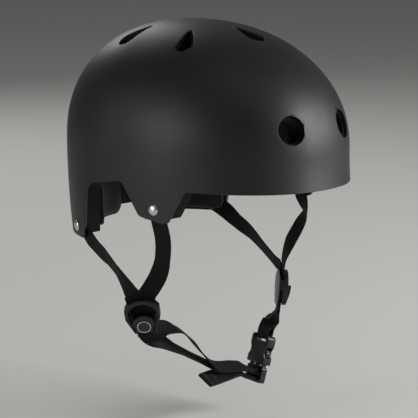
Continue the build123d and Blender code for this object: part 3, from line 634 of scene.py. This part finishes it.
knit_material, spot = new_material("brushed_knit")
loops = add_node(knit_material, "ShaderNodeTexVoronoi", {"Scale": 1 / knit_size}, {"Vector": spot})
nap = add_node(knit_material, "ShaderNodeTexNoise", {"Scale": 90.0, "Detail": 5.0}, {"Vector": spot})
tone = add_node(
    knit_material,
    "ShaderNodeMix",
    {"data_type": "RGBA", 6: linear("#0b0b0c"), 7: linear("#161618")},
    {0: nap.outputs["Fac"]},
)
stitches = add_node(
    knit_material,
    "ShaderNodeBump",
    {"Strength": 0.5, "Distance": 0.25 * mm},
    {"Height": loops.outputs["Distance"]},
)
finish_material(
    knit_material,
    {"Roughness": 0.85, "IOR": 1.5, "Sheen Weight": 0.08, "Sheen Roughness": 0.5},
    {"Base Color": tone.outputs[2], "Normal": stitches.outputs["Normal"]},
)


def merged_copy(node, name):
    """A copy of a CAD node's mesh with its loose triangles joined."""
    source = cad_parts[node]
    piece = bpy.data.objects.new(name, source.data.copy())
    bpy.context.collection.objects.link(piece)
    piece.data.materials.clear()
    edit(piece)
    bpy.ops.mesh.remove_doubles(threshold=merge_distance)
    bpy.ops.object.mode_set(mode="OBJECT")
    return piece


# Angle from the front and height of each pad's middle, in degrees and millimetres, its
# width, its height and the radius of its corners
pad_places = {
    "brow_pad": (0, -7, 118, 34, 9),
    "side_pad_left": (84, 6, 84, 34, 9),
    "side_pad_right": (-84, 6, 84, 34, 9),
    "rear_pad_left": (143, -58.5, 80, 44, 9),
    "rear_pad_right": (-154, -58.5, 72, 44, 9),
    "crown_pad": (None, 0, 72, 72, 36),
}
seam_inset = 25.1 * mm
seam_radius = 1.0 * mm
seam_draw_in = 2
seam_form = add_dome("seam_form", seam_inset)


def pad_seam(name, turn, height, wide, tall, radius):
    """Bound edge of a pad: a cord along its outline at half its thickness."""
    if turn is None:
        way, across, up = Vector((0, 0, 1)), Vector((1, 0, 0)), Vector((0, 1, 0))
    else:
        way, up = Vector((sin(radians(turn)), -cos(radians(turn)), 0)), Vector((0, 0, 1))
        across = up.cross(way)
    corners = [(a * wide / 2, b * tall / 2, radius) for a, b in ((1, 1), (-1, 1), (-1, -1), (1, -1))]
    outline = rounded(corners, -seam_draw_in)
    fine = []
    for number, here in enumerate(outline):
        to_next = outline[(number + 1) % len(outline)] - here
        steps = max(1, ceil(to_next.length / (2 * arc_step)))
        fine += [here + to_next * step / steps for step in range(steps)]
    bpy.ops.mesh.primitive_circle_add(vertices=len(fine), fill_type="NOTHING")
    seam = bpy.context.object
    seam.name = name
    for vertex, place in zip(seam.data.vertices, fine):
        start = across * place.x * mm + up * place.y * mm + Vector((0, 0, height)) * mm
        vertex.co = seam_form.ray_cast(start, way)[1]
    bpy.ops.object.convert(target="CURVE")
    seam.data.bevel_depth = seam_radius
    seam.data.bevel_resolution = 2
    bpy.ops.object.convert(target="MESH")
    bpy.ops.object.shade_smooth()
    return seam


for node, place in pad_places.items():
    seam = pad_seam(node + "_bound_edge", *place)
    seam.data.materials.append(knit_material)
    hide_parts(node)
    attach(seam, "helmet")
    pad = merged_copy(node, node + "_cushion")
    finish_with(pad, "REMESH", mode="VOXEL", voxel_size=pad_voxel)
    edit(pad)
    bpy.ops.transform.shrink_fatten(value=-pad_shrink)
    bpy.ops.object.mode_set(mode="OBJECT")
    start = [vertex.co.copy() for vertex in pad.data.vertices]
    cloth = pad.modifiers.new("cloth", "CLOTH")
    cloth.settings.use_pressure = True
    cloth.settings.uniform_pressure_force = pad_pressure
    cloth.settings.effector_weights.gravity = 0
    cloth.point_cache.frame_end = pad_frames
    for number in range(1, pad_frames + 1):
        bpy.context.scene.frame_set(number)
    only(pad)
    bpy.ops.object.modifier_apply(modifier="cloth")
    for vertex, before in zip(pad.data.vertices, start):
        moved = vertex.co - before
        if moved.length > pad_swell_cap:
            vertex.co = before + moved.normalized() * pad_swell_cap
    bpy.context.scene.frame_set(1)
    finish_with(pad, "SUBSURF", levels=1, render_levels=1)
    only(pad)
    bpy.ops.object.shade_smooth()
    pad.data.materials.append(knit_material)
    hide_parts(node)
    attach(pad, "helmet")
bpy.data.objects.remove(seam_form)

# Hook tape patches between liner and pads: moulded nylon hooks, so small that they only
# give a dull, pebbled black.
hook_pitch = 0.9 * mm
hook_material, spot = new_material("nylon_hook_tape")
hooks = add_node(hook_material, "ShaderNodeTexVoronoi", {"Scale": 1 / hook_pitch}, {"Vector": spot})
points = add_node(
    hook_material,
    "ShaderNodeBump",
    {"Strength": 0.9, "Distance": 0.4 * mm},
    {"Height": hooks.outputs["Distance"]},
)
finish_material(
    hook_material, {"Base Color": linear("#19191b"), "Roughness": 0.6}, {"Normal": points.outputs["Normal"]}
)
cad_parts["hook_patches"].data.materials[0] = hook_material


# Rivets: nickel-plated steel, one through each flap and each rear lobe. The domed head lies
# on the shell, and the shank is spread over a washer behind the webbing.
seat_clearance = 0.15 * mm
rivet_head_height = 2.1 * mm
rivet_foot_radius = 3.6 * mm
rivet_foot_height = 0.9 * mm
washer_thickness = 1.0 * mm
washer_gap = 0.25 * mm
rivet_grip = shell_wall + webbing_gap + strap_thickness + washer_gap + washer_thickness
rivet_profile = (
    (rivet_foot_radius * 0.8, -rivet_grip - rivet_foot_height),
    (rivet_foot_radius, -rivet_grip - rivet_foot_height * 0.7),
    (rivet_foot_radius, -rivet_grip - rivet_foot_height * 0.2),
    (rivet_foot_radius * 0.9, -rivet_grip),
    (rivet_shank_radius, -rivet_grip + 0.01 * mm),
    (rivet_shank_radius, seat_clearance - 0.01 * mm),
    (rivet_head_radius - 0.2 * mm, seat_clearance),
    (rivet_head_radius, seat_clearance + 0.25 * mm),
    (rivet_head_radius - 0.15 * mm, seat_clearance + 0.6 * mm),
    (rivet_head_radius - 0.7 * mm, seat_clearance + 1.15 * mm),
    (rivet_head_radius - 1.5 * mm, seat_clearance + 1.6 * mm),
    (rivet_head_radius - 2.6 * mm, seat_clearance + 1.92 * mm),
    (rivet_head_radius - 3.8 * mm, seat_clearance + rivet_head_height - 0.05 * mm),
    (rivet_head_radius - 4.6 * mm, seat_clearance + rivet_head_height),
)


def turned_on_lathe(name, profile, axes, sides=48):
    """A round piece whose radii and levels follow a profile, set on its own axes."""
    radius, level = profile[0]
    bpy.ops.mesh.primitive_circle_add(vertices=sides, radius=radius, fill_type="NGON", location=(0, 0, level))
    piece = bpy.context.object
    piece.name = name
    bpy.ops.object.transform_apply()
    edit(piece)
    for next_radius, next_level in profile[1:]:
        bpy.ops.mesh.extrude_region_move(TRANSFORM_OT_translate={"value": (0, 0, next_level - level)})
        share = next_radius / radius
        bpy.ops.transform.resize(value=(share, share, 1), center_override=(0, 0, next_level))
        radius, level = next_radius, next_level
    bpy.ops.mesh.select_all(action="SELECT")
    bpy.ops.mesh.normals_make_consistent(inside=False)
    bpy.ops.object.mode_set(mode="OBJECT")
    piece.data.transform(axes)
    bpy.ops.object.shade_smooth_by_angle(angle=radians(40))
    return piece


def steel(name, colour, texture, settings, least, most):
    """A metal whose face is duller in some spots than in others."""
    material, spot = new_material(name)
    film = add_node(material, texture, settings, {"Vector": spot})
    dull = add_node(
        material, "ShaderNodeMapRange", {"To Min": least, "To Max": most}, {"Value": film.outputs[0]}
    )
    finish_material(
        material, {"Base Color": linear(colour), "Metallic": 1.0}, {"Roughness": dull.outputs["Result"]}
    )
    return material


rubbed = {"Scale": 900.0, "Detail": 3.0}
nickel_material = steel("nickel_plated_steel", "#dcdbd8", "ShaderNodeTexNoise", rubbed, 0.2, 0.34)
for kind in rivet_places:
    pair = []
    for side in (1, -1):
        axes = rivet_axes(side, *rivet_places[kind])
        pair.append(turned_on_lathe(f"{kind}_rivet_pair", rivet_profile, axes))
    rivets = join(pair)
    rivets.data.materials.append(nickel_material)
    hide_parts(f"{kind}_rivets")
    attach(rivets, "helmet")

# Washers behind the webbing: zinc-plated steel, duller and bluer than the rivets.
zinc_material = steel("zinc_plated_steel", "#b9bcc2", "ShaderNodeTexVoronoi", {"Scale": 500.0}, 0.35, 0.5)
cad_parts["rivet_washers"].data.materials[0] = zinc_material


# Straps from the shell to the dividers: flat woven polyester webbing, 16 mm wide and 1.2 mm
# thick, riveted behind the shell and led down through each divider. The herringbone weave
# of 0.8 mm yarns is drawn at 1.5 mm so that it shows.
strap_end_length = 9 * mm
seat_steps = 12
front_exit_length = 12 * mm
lobe_exit_length = 20 * mm
divider_side = 92 * mm
divider_tilts = {1: -5, -1: -18}
divider_turn = 42
divider_lean = 7
divider_shoulder = 12 * mm
divider_entry_side = 6 * mm
lever_pin_drop = 9 * mm
ply_gap = 0.2 * mm
ply_step = strap_thickness + ply_gap
webbing_columns = 10
webbing_row_step = 1.6 * mm
webbing_edge = 0.35 * mm
weave_pitch = 1.5
yarn_pitch = 0.9

webbing_material, spot = new_material("woven_polyester_webbing")
uv = add_node(webbing_material, "ShaderNodeUVMap", {"uv_map": "UVMap"}).outputs["UV"]
axes = add_node(webbing_material, "ShaderNodeSeparateXYZ", links={0: uv})
folded = add_node(webbing_material, "ShaderNodeMath", {"operation": "ABSOLUTE"}, {0: axes.outputs["X"]})
chevron = add_node(
    webbing_material, "ShaderNodeCombineXYZ", links={"X": folded.outputs[0], "Y": axes.outputs["Y"]}
)
twill = add_node(
    webbing_material,
    "ShaderNodeTexWave",
    {"bands_direction": "DIAGONAL", "Scale": 0.628 / weave_pitch},
    {"Vector": chevron.outputs[0]},
)
warp = add_node(
    webbing_material,
    "ShaderNodeTexWave",
    {"bands_direction": "X", "Scale": 0.314 / yarn_pitch, "Distortion": 0.4},
    {"Vector": uv},
)
weave = add_node(
    webbing_material,
    "ShaderNodeMix",
    {0: 0.4},
    {2: twill.outputs["Fac"], 3: warp.outputs["Fac"]},
)
tone = add_node(
    webbing_material,
    "ShaderNodeMix",
    {"data_type": "RGBA", 6: linear("#060607"), 7: linear("#101012")},
    {0: weave.outputs[0]},
)
yarns = add_node(
    webbing_material, "ShaderNodeBump", {"Strength": 0.55, "Distance": 0.2 * mm}, {"Height": weave.outputs[0]}
)
finish_material(
    webbing_material,
    {"Roughness": 0.66, "IOR": 1.5, "Specular IOR Level": 0.16, "Sheen Weight": 0.02},
    {"Base Color": tone.outputs[2], "Normal": yarns.outputs["Normal"]},
)


def smooth(stations):
    """Finer stations of middle point and face direction, on a smooth curve."""
    points = [middle for middle, face in stations]
    points = [points[0] * 2 - points[1]] + points + [points[-1] * 2 - points[-2]]
    fine = []
    for number in range(len(stations) - 1):
        before, start, end, after = points[number : number + 4]
        steps = max(1, ceil((end - start).length / webbing_row_step))
        for step in range(steps):
            share = step / steps
            middle = start * 2 + (end - before) * share
            middle += (before * 2 - start * 5 + end * 4 - after) * share**2
            middle += (start * 3 - before - end * 3 + after) * share**3
            face = stations[number][1].normalized().lerp(stations[number + 1][1].normalized(), share)
            fine.append((middle / 2, face))
    fine.append(stations[-1])
    return fine


def between(start, end, side, table):
    """Stations of a hanging run: shares along it, then its bows forward, out and up as
    shares of its length, and the angles that its face is turned and tilted by."""
    chord = end - start
    stations = []
    for along, ahead, out, up, turn, tilt in table:
        bow = Vector((side * out, -ahead, up)) * chord.length
        stations.append((start + chord * along + bow, facing(side, turn, tilt)))
    return stations


def weave_strap(name, stations, first=None, final=None):
    """Flat webbing laid along the stations, each square to the run there, with rounded edges."""
    last = len(stations) - 1
    bpy.ops.mesh.primitive_grid_add(x_subdivisions=webbing_columns, y_subdivisions=last, size=1)
    strap = bpy.context.object
    strap.name = name
    places = {}
    lengths = [0]
    for number in range(last):
        lengths.append(lengths[-1] + (stations[number + 1][0] - stations[number][0]).length)
    for vertex in strap.data.vertices:
        row = round((vertex.co.y + 0.5) * last)
        share = vertex.co.x
        middle, face = stations[row]
        run = stations[min(row + 1, last)][0] - stations[max(row - 1, 0)][0]
        if row == 0 and first:
            run = first
        if row == last and final:
            run = final
        vertex.co = middle + run.cross(face).normalized() * strap_width * share
        places[vertex.index] = (share * strap_width / mm, lengths[row] / mm)
    for loop, spot in zip(strap.data.loops, strap.data.uv_layers[0].data):
        spot.uv = places[loop.vertex_index]
    strap.data.uv_layers[0].name = "UVMap"
    finish_with(strap, "SOLIDIFY", thickness=strap_thickness, offset=0, use_even_offset=False)
    finish_with(strap, "BEVEL", limit_method="ANGLE", angle_limit=radians(60), width=webbing_edge, segments=2)
    only(strap)
    bpy.ops.object.shade_smooth_by_angle(angle=radians(50))
    strap.data.materials.append(webbing_material)
    return strap


def divider_axes(side):
    """Divider's own axes: x across it, y up along the webbing, z outwards."""
    out = facing(side, divider_turn, divider_tilts[side])
    drop = divider_left_drop if side > 0 else divider_drop
    level = axes_at(Vector((side * divider_side, -divider_forward, -drop)), Vector((0, 0, 1)).cross(out), out)
    return level @ Matrix.Rotation(radians(-side * divider_lean), 4, "Z")


front_run_shares = {
    -1: (
        (0.23, 0.12, 0, 0, 10, 0),
        (0.49, 0.17, 0, 0, 8, 0),
        (0.69, 0.15, 0, 0, 24, -4),
        (0.88, 0.07, 0, 0, 38, -12),
    ),
    1: (
        (0.22, 0.13, 0, 0, 40, 0),
        (0.43, 0.08, 0, 0, 22, 0),
        (0.65, 0.01, 0, 0, 20, -2),
        (0.86, -0.02, 0, 0, 36, -4),
    ),
}
rear_run_shares = {
    -1: (
        (0.20, 0, 0, 0.01, -40, 0),
        (0.42, 0, 0, 0.04, -50, 0),
        (0.62, 0, 0, 0.04, -48, 0),
        (0.80, 0, 0, 0.02, -24, 0),
        (0.93, 0, 0, 0, 14, -8),
    ),
    1: (
        (0.20, 0, 0, 0.01, 12, 0),
        (0.45, 0, 0, 0.04, 29, 0),
        (0.70, 0, 0, 0.02, 40, 0),
        (0.90, 0, 0, 0, 43, -3),
    ),
}
sides = ((1, "left"), (-1, "right"))
outer_ply = 0
inner_ply = -ply_step
for side, side_name in sides:
    body = divider_axes(side)
    out = body.col[2].to_3d()
    ahead = -side * divider_entry_side
    for kind, exit_length, table, level, across, strap_name in (
        ("flap", front_exit_length, front_run_shares[side], outer_ply, ahead, "front_strap_"),
        ("lobe", lobe_exit_length, rear_run_shares[side], inner_ply, -ahead, "rear_strap_"),
    ):
        forward, drop = rivet_places[kind]
        pull = radians(strap_pulls[kind])
        stations = []
        for step in range(seat_steps + 1):
            along = -strap_end_length + (exit_length + strap_end_length) * step / seat_steps
            seat = rivet_axes(side, forward + along * cos(pull), drop + along * sin(pull))
            way = seat.col[2].to_3d()
            stations.append((seat.translation - way * strap_seat, way))
        foot = stations.pop()
        entry = (body @ Vector((across, divider_top + lever_pin_drop / 3, level)), out)
        hanging = between(foot[0], entry[0], side, table)
        stations += smooth([foot] + hanging + [entry])
        stations += [(body @ Vector((across * 2 / 3, divider_shoulder, level)), out)]
        stations += [(body @ Vector((0, -lever_pin_drop / 2, level)), out)]
        stations += [(body @ Vector((0, -lever_pin_drop, level)), out)]
        strap = weave_strap(strap_name + side_name + "_webbing", stations)
        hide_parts(strap_name + side_name)
        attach(strap, "helmet")


# Strap dividers: glass-filled acetal mouldings in satin black, each with a cam lever on a
# pin that clamps the webbing against the back plate. Edges are softened by the mould.
moulding_edge = 0.45 * mm
acetal_grain = 0.6 * mm

acetal_material, spot = new_material("moulded_acetal")
grain = add_node(
    acetal_material, "ShaderNodeTexNoise", {"Scale": 1 / acetal_grain, "Detail": 2.0}, {"Vector": spot}
)
flow = add_node(acetal_material, "ShaderNodeTexNoise", {"Scale": 60.0, "Detail": 3.0}, {"Vector": spot})
satin = add_node(
    acetal_material, "ShaderNodeMapRange", {"To Min": 0.28, "To Max": 0.44}, {"Value": flow.outputs["Fac"]}
)
fine = add_node(
    acetal_material,
    "ShaderNodeBump",
    {"Strength": 0.2, "Distance": 0.05 * mm},
    {"Height": grain.outputs["Fac"]},
)
finish_material(
    acetal_material,
    {"Base Color": linear("#131315"), "IOR": 1.48},
    {"Roughness": satin.outputs["Result"], "Normal": fine.outputs["Normal"]},
)


def moulded(node, name, body):
    """A moulded piece on its CAD solid, its flat faces made whole and its edges softened."""
    piece = merged_copy(node, name)
    edit(piece)
    bpy.ops.mesh.dissolve_limited(angle_limit=radians(1))
    bpy.ops.object.mode_set(mode="OBJECT")
    corner = radians(35)
    finish_with(piece, "BEVEL", limit_method="ANGLE", angle_limit=corner, width=moulding_edge, segments=3)
    only(piece)
    bpy.ops.object.shade_smooth_by_angle(angle=radians(40))
    piece.data.materials.append(acetal_material)
    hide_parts(node)
    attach(piece, body)
    return piece


for side, side_name in sides:
    moulded(f"divider_{side_name}", f"divider_frame_{side_name}", "helmet")
    moulded(f"divider_lever_{side_name}", f"cam_lever_{side_name}", f"lever_{side_name}")

# Lever pins: black-oxide steel, which gives a dark, oily and slightly uneven sheen.
oiled = {"Scale": 700.0, "Detail": 3.0}
oxide_material = steel("black_oxide_steel", "#2b2b2e", "ShaderNodeTexNoise", oiled, 0.35, 0.55)
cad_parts["divider_pins"].data.materials[0] = oxide_material

# Discs set in the levers: gloss black lacquered plastic with one plain pad-printed ring.
disc_radius = 6.6 * mm
ring_outer = 6.0 * mm
ring_inner = 5.45 * mm
ring_reach_share = 0.98
ring_depth = 0.05 * mm
disc_depth = 0.8 * mm
disc_proud = 0.35 * mm
disc_drop = 4.4 * mm
lever_raise = 1.4 * mm
lever_free_end = 7 * mm
lever_root_radius = 2.55 * mm
lever_lifts = {1: 9, -1: 0}
disc_height = disc_depth + disc_proud
disc_profile = (
    (disc_radius, 0),
    (disc_radius, disc_height - 0.3 * mm),
    (disc_radius - 0.1 * mm, disc_height - 0.1 * mm),
    (disc_radius - 0.3 * mm, disc_height),
    (ring_outer, disc_height),
    (ring_inner, disc_height),
    (ring_inner * 0.4, disc_height),
    (ring_inner * 0.05, disc_height),
)
lacquer_material, spot = new_material("gloss_lacquer")
haze = add_node(lacquer_material, "ShaderNodeTexNoise", {"Scale": 200.0, "Detail": 3.0}, {"Vector": spot})
gloss = add_node(
    lacquer_material, "ShaderNodeMapRange", {"To Min": 0.12, "To Max": 0.24}, {"Value": haze.outputs["Fac"]}
)
finish_material(
    lacquer_material,
    {"Base Color": linear("#0d0d0f"), "IOR": 1.5, "Coat Weight": 0.25, "Coat Roughness": 0.12},
    {"Roughness": gloss.outputs["Result"]},
)
ink_material, spot = new_material("pad_printing_ink")
mottle = add_node(ink_material, "ShaderNodeTexNoise", {"Scale": 1500.0, "Detail": 2.0}, {"Vector": spot})
shade = add_node(
    ink_material,
    "ShaderNodeMix",
    {"data_type": "RGBA", 6: linear("#d2d0cd"), 7: linear("#ebeae7")},
    {0: mottle.outputs["Fac"]},
)
finish_material(ink_material, {"Roughness": 0.5}, {"Base Color": shade.outputs[2]})
channel_front = strap_thickness / 2 + ply_gap
lever_pin_level = channel_front + lever_root_radius


def lever_axes(side):
    """The lever's pin: x up the lever, z along the pin, y out of its face."""
    body = divider_axes(side)
    middle = body @ Vector((0, -lever_pin_drop, lever_pin_level))
    level = axes_at(middle, body.col[1].to_3d(), body.col[0].to_3d())
    return level @ Matrix.Rotation(radians(lever_lifts[side]), 4, "Z")


slope = atan2(lever_raise, lever_pin_drop + lever_free_end)
for side, side_name in sides:
    tilted = lever_axes(side) @ Matrix.Rotation(slope, 4, "Z")
    middle = tilted @ Vector((lever_pin_drop - disc_drop, lever_root_radius - disc_depth, 0))
    axes = axes_at(middle, tilted.col[2].to_3d(), tilted.col[1].to_3d())
    disc = turned_on_lathe(f"disc_{side_name}_lacquered", disc_profile, axes, 64)
    disc.data.materials.append(lacquer_material)
    disc.data.materials.append(ink_material)
    back_to_disc = axes.inverted()
    for face in disc.data.polygons:
        spot = back_to_disc @ face.center
        if ring_inner * ring_reach_share < spot.xy.length < ring_outer and spot.z > disc_height - ring_depth:
            face.material_index = 1
    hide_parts(f"divider_disc_{side_name}")
    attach(disc, f"lever_{side_name}")


# Side-release buckle: the same acetal. The female half hangs in a loop of webbing; the male
# half has two sprung arms, a guide tongue and a ladder for the adjuster.
moulded("buckle_female", "buckle_socket", "helmet")
moulded("buckle_male", "buckle_plug", "buckle_slider")
moulded("buckle_arm_front", "sprung_arm_front", "arm_front")
moulded("buckle_arm_rear", "sprung_arm_rear", "arm_rear")
buckle_forward = 22 * mm
buckle_side = 65.4 * mm
buckle_drop = 220.7 * mm
buckle_lean = 16
buckle_turn = 11.4
buckle = axes_at(
    Vector((buckle_side, -buckle_forward, -buckle_drop)),
    facing(1, buckle_turn).cross(Vector((0, 0, 1))),
    -facing(1, buckle_turn, -buckle_lean),
)
buckle_y, buckle_z = (buckle.col[number].to_3d() for number in (1, 2))


# Webbing loop on the left: one length from the divider round the socket's bar and back.
divider_foot = 12.6 * mm
divider_exit_length = 3.6 * mm
strap_end_gap = 0.3 * mm
female_length = 27.5 * mm
female_bar = 3 * mm
loop_radius = 2.7 * mm
running_clearance = 0.05 * mm
loop_spread_shares = (0.3, 0.62)
loop_turns = (30, -8)
bend_count = 16
body = divider_axes(1)
out = body.col[2].to_3d()
loop_start = body @ Vector((0, -divider_foot - divider_exit_length, (outer_ply + inner_ply) / 2))
loop_end = buckle @ Vector((0, female_length + 2 * female_bar, 0))
loop_middle = [(loop_start, out, ply_step / 2)]
for share, turn in zip(loop_spread_shares, loop_turns):
    spread = ply_step / 2 + (loop_radius - ply_step / 2) * share
    loop_middle.append((loop_start.lerp(loop_end, share), facing(1, turn, -buckle_lean / 2), spread))
loop_middle.append((loop_end, -buckle_z, loop_radius))
outer_run = [(body @ Vector((0, -lever_pin_drop - strap_end_gap, outer_ply)), out)]
outer_run += smooth([(middle + face * spread, face) for middle, face, spread in loop_middle])
inner_run = [(body @ Vector((0, -lever_pin_drop - strap_end_gap, inner_ply)), out)]
inner_run += smooth([(middle - face * spread, face) for middle, face, spread in loop_middle])
bend_middle = female_length - female_bar - strap_thickness / 2 - running_clearance + loop_radius
bend = []
for step in range(bend_count + 1):
    down = sin(pi * step / bend_count)
    over = cos(pi * step / bend_count)
    middle = buckle @ Vector((0, bend_middle - loop_radius * down, -loop_radius * over))
    bend.append((middle, -buckle_z * over - buckle_y * down))
loop = weave_strap(
    "chin_loop_left_webbing", outer_run + bend + [(middle, -face) for middle, face in reversed(inner_run)]
)
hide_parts("chin_loop_left")
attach(loop, "helmet")


# Chin strap on the right: two lengths of webbing from the divider that meet under the chin,
# where both are sewn together.
merge = Vector((-3, -26.5, -208.4)) * mm
merge_face = facing(-1, 130, 50)
male_gap = 2.6 * mm
male_shoulder = 2.6 * mm
male_slot = 3.9 * mm
male_bar = 3 * mm
male_thickness = 6 * mm
adjuster_bend_radius = 3.8 * mm
adjuster_gap = 0.35 * mm
bar_middle = -male_gap - male_shoulder - male_slot - male_bar / 2
slot_in = buckle @ Vector((0, bar_middle + adjuster_bend_radius, male_thickness))
slot_out = buckle @ Vector((0, bar_middle - adjuster_bend_radius, male_thickness))
pull = (slot_in - merge).normalized()
pull = (pull - merge_face * pull.dot(merge_face)).normalized()
upper_run_shares = (
    (0.09, 0.04, 0, 0.05, 45, 5),
    (0.21, 0.05, 0, 0.14, 62, 45),
    (0.39, 0.06, 0, 0.18, 115, 72),
    (0.56, 0.06, 0, 0.15, 140, 60),
    (0.71, 0.05, 0, 0.08, 140, 52),
    (0.86, 0.03, 0, 0.03, 135, 50),
)
lower_run_shares = (
    (0.08, 0, 0, -0.01, 60, 0),
    (0.22, 0, 0, 0, 98, 36),
    (0.46, 0, 0, 0, 120, 56),
    (0.72, 0, 0, 0, 128, 58),
)
body = divider_axes(-1)
out = body.col[2].to_3d()
for ply_name, level, way, table in (
    ("upper", outer_ply, 1, upper_run_shares),
    ("lower", inner_ply, -1, lower_run_shares),
):
    start = body @ Vector((0, -divider_foot - divider_exit_length, level))
    end = merge + merge_face * (way * ply_step / 2)
    stations = [(body @ Vector((0, -lever_pin_drop - strap_end_gap, level)), out)]
    stations += smooth([(start, out)] + between(start, end, -1, table) + [(end, merge_face)])
    ply = weave_strap(f"chin_strap_{ply_name}_webbing", stations, final=pull)
    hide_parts(f"chin_strap_{ply_name}")
    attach(ply, "helmet")


# Adjuster: both lengths sewn flat, led round the ladder's middle bar and back as a loose
# tail. Bar tacks of bonded polyester thread hold the seam and the tail's end.
adjuster_shares = (
    (0.16, 0, 0, -0.01, 134, 55),
    (0.34, -0.01, 0, 0, 130, 60),
    (0.55, -0.01, 0, 0.02, 134, 58),
    (0.76, 0, 0, 0.03, 150, 50),
    (0.92, 0, 0, 0.01, 170, 68),
)
tail_shares = (
    (0.30, 0, 0, 0, 160, 56),
    (0.62, 0, 0, 0, 150, 54),
    (1.0, 0, 0, 0, 134, 66),
)
tail_end_shares = (
    (0.35, -0.02, 0, 0, 114, 58),
    (0.70, -0.01, 0, 0, 109, 50),
    (1.0, 0, 0, 0, 109, 55),
)
tail_middle = Vector((32, -22, -222.2)) * mm
tail_end = Vector((-21, -33, -217.5)) * mm
adjuster_start = merge + pull * adjuster_gap
run = smooth(
    [(adjuster_start, merge_face)]
    + between(adjuster_start, slot_in, -1, adjuster_shares)
    + [(slot_in, buckle_y)]
)
turn_round = []
for step in range(bend_count + 1):
    down = cos(pi * step / bend_count)
    over = sin(pi * step / bend_count)
    middle = buckle @ Vector((0, bar_middle + adjuster_bend_radius * down, -adjuster_bend_radius * over))
    turn_round.append((middle, buckle_y * down - buckle_z * over))
hanging = between(slot_out, tail_middle, -1, tail_shares)
hanging += between(tail_middle, tail_end, -1, tail_end_shares)
tail = smooth([(slot_out, -buckle_y)] + [(middle, -face) for middle, face in hanging])


def sewn_plies(name, stations, first=None):
    """Two lengths of webbing that lie flat on each other."""
    plies = []
    for way in (1, -1):
        shifted = [(middle + face.normalized() * way * ply_step / 2, face) for middle, face in stations]
        plies.append(weave_strap(name, shifted, first=first))
    return join(plies)


# Bonded thread is a little glossier than the webbing that it holds.
thread_radius = 0.22 * mm
thread_pitch = 0.4 * mm
tack_width = 13.6 * mm
tack_length = 2.2 * mm
thread_material, spot = new_material("bonded_polyester_thread")
lay = add_node(thread_material, "ShaderNodeTexNoise", {"Scale": 2500.0, "Detail": 2.0}, {"Vector": spot})
twist = add_node(
    thread_material,
    "ShaderNodeBump",
    {"Strength": 0.4, "Distance": 0.05 * mm},
    {"Height": lay.outputs["Fac"]},
)
finish_material(
    thread_material, {"Base Color": linear("#141415"), "Roughness": 0.42}, {"Normal": twist.outputs["Normal"]}
)


def bar_tack(stations, number, level):
    """A dense row of thread passes across the webbing, lying on one of its faces."""
    middle, face = stations[number]
    way = stations[number + 1][0] - stations[number - 1][0]
    bpy.ops.mesh.primitive_cylinder_add(
        vertices=8,
        radius=thread_radius,
        depth=tack_length,
        location=(-tack_width / 2, 0, 0),
        rotation=(pi / 2, 0, 0),
    )
    tack = bpy.context.object
    bpy.ops.object.transform_apply()
    finish_with(
        tack,
        "ARRAY",
        fit_type="FIT_LENGTH",
        fit_length=tack_width,
        use_relative_offset=False,
        use_constant_offset=True,
        constant_offset_displace=(thread_pitch, 0, 0),
    )
    bpy.ops.object.shade_smooth_by_angle(angle=radians(50))
    tack.data.transform(axes_at(middle + face.normalized() * level, way.cross(face), face))
    tack.data.materials.append(thread_material)
    return tack


tack_level = ply_step / 2 + strap_thickness / 2
adjuster_run = sewn_plies("adjuster_run_webbing", run, pull)
run_tacks = [bar_tack(run, number, way * tack_level) for number in (2, 9) for way in (1, -1)]
adjuster_run = join([adjuster_run] + run_tacks)
adjuster_tail = sewn_plies("adjuster_tail_webbing", [run[-1]] + turn_round + tail)
tail_tacks = [bar_tack(tail, number, way * tack_level) for number in (-4, -11) for way in (1, -1)]
adjuster_tail = join([adjuster_tail] + tail_tacks)
for piece in (adjuster_run, adjuster_tail):
    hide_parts("adjuster_strap")
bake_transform(adjuster_run)
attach(adjuster_tail, "buckle_slider")

bpy.ops.object.select_all(action="DESELECT")
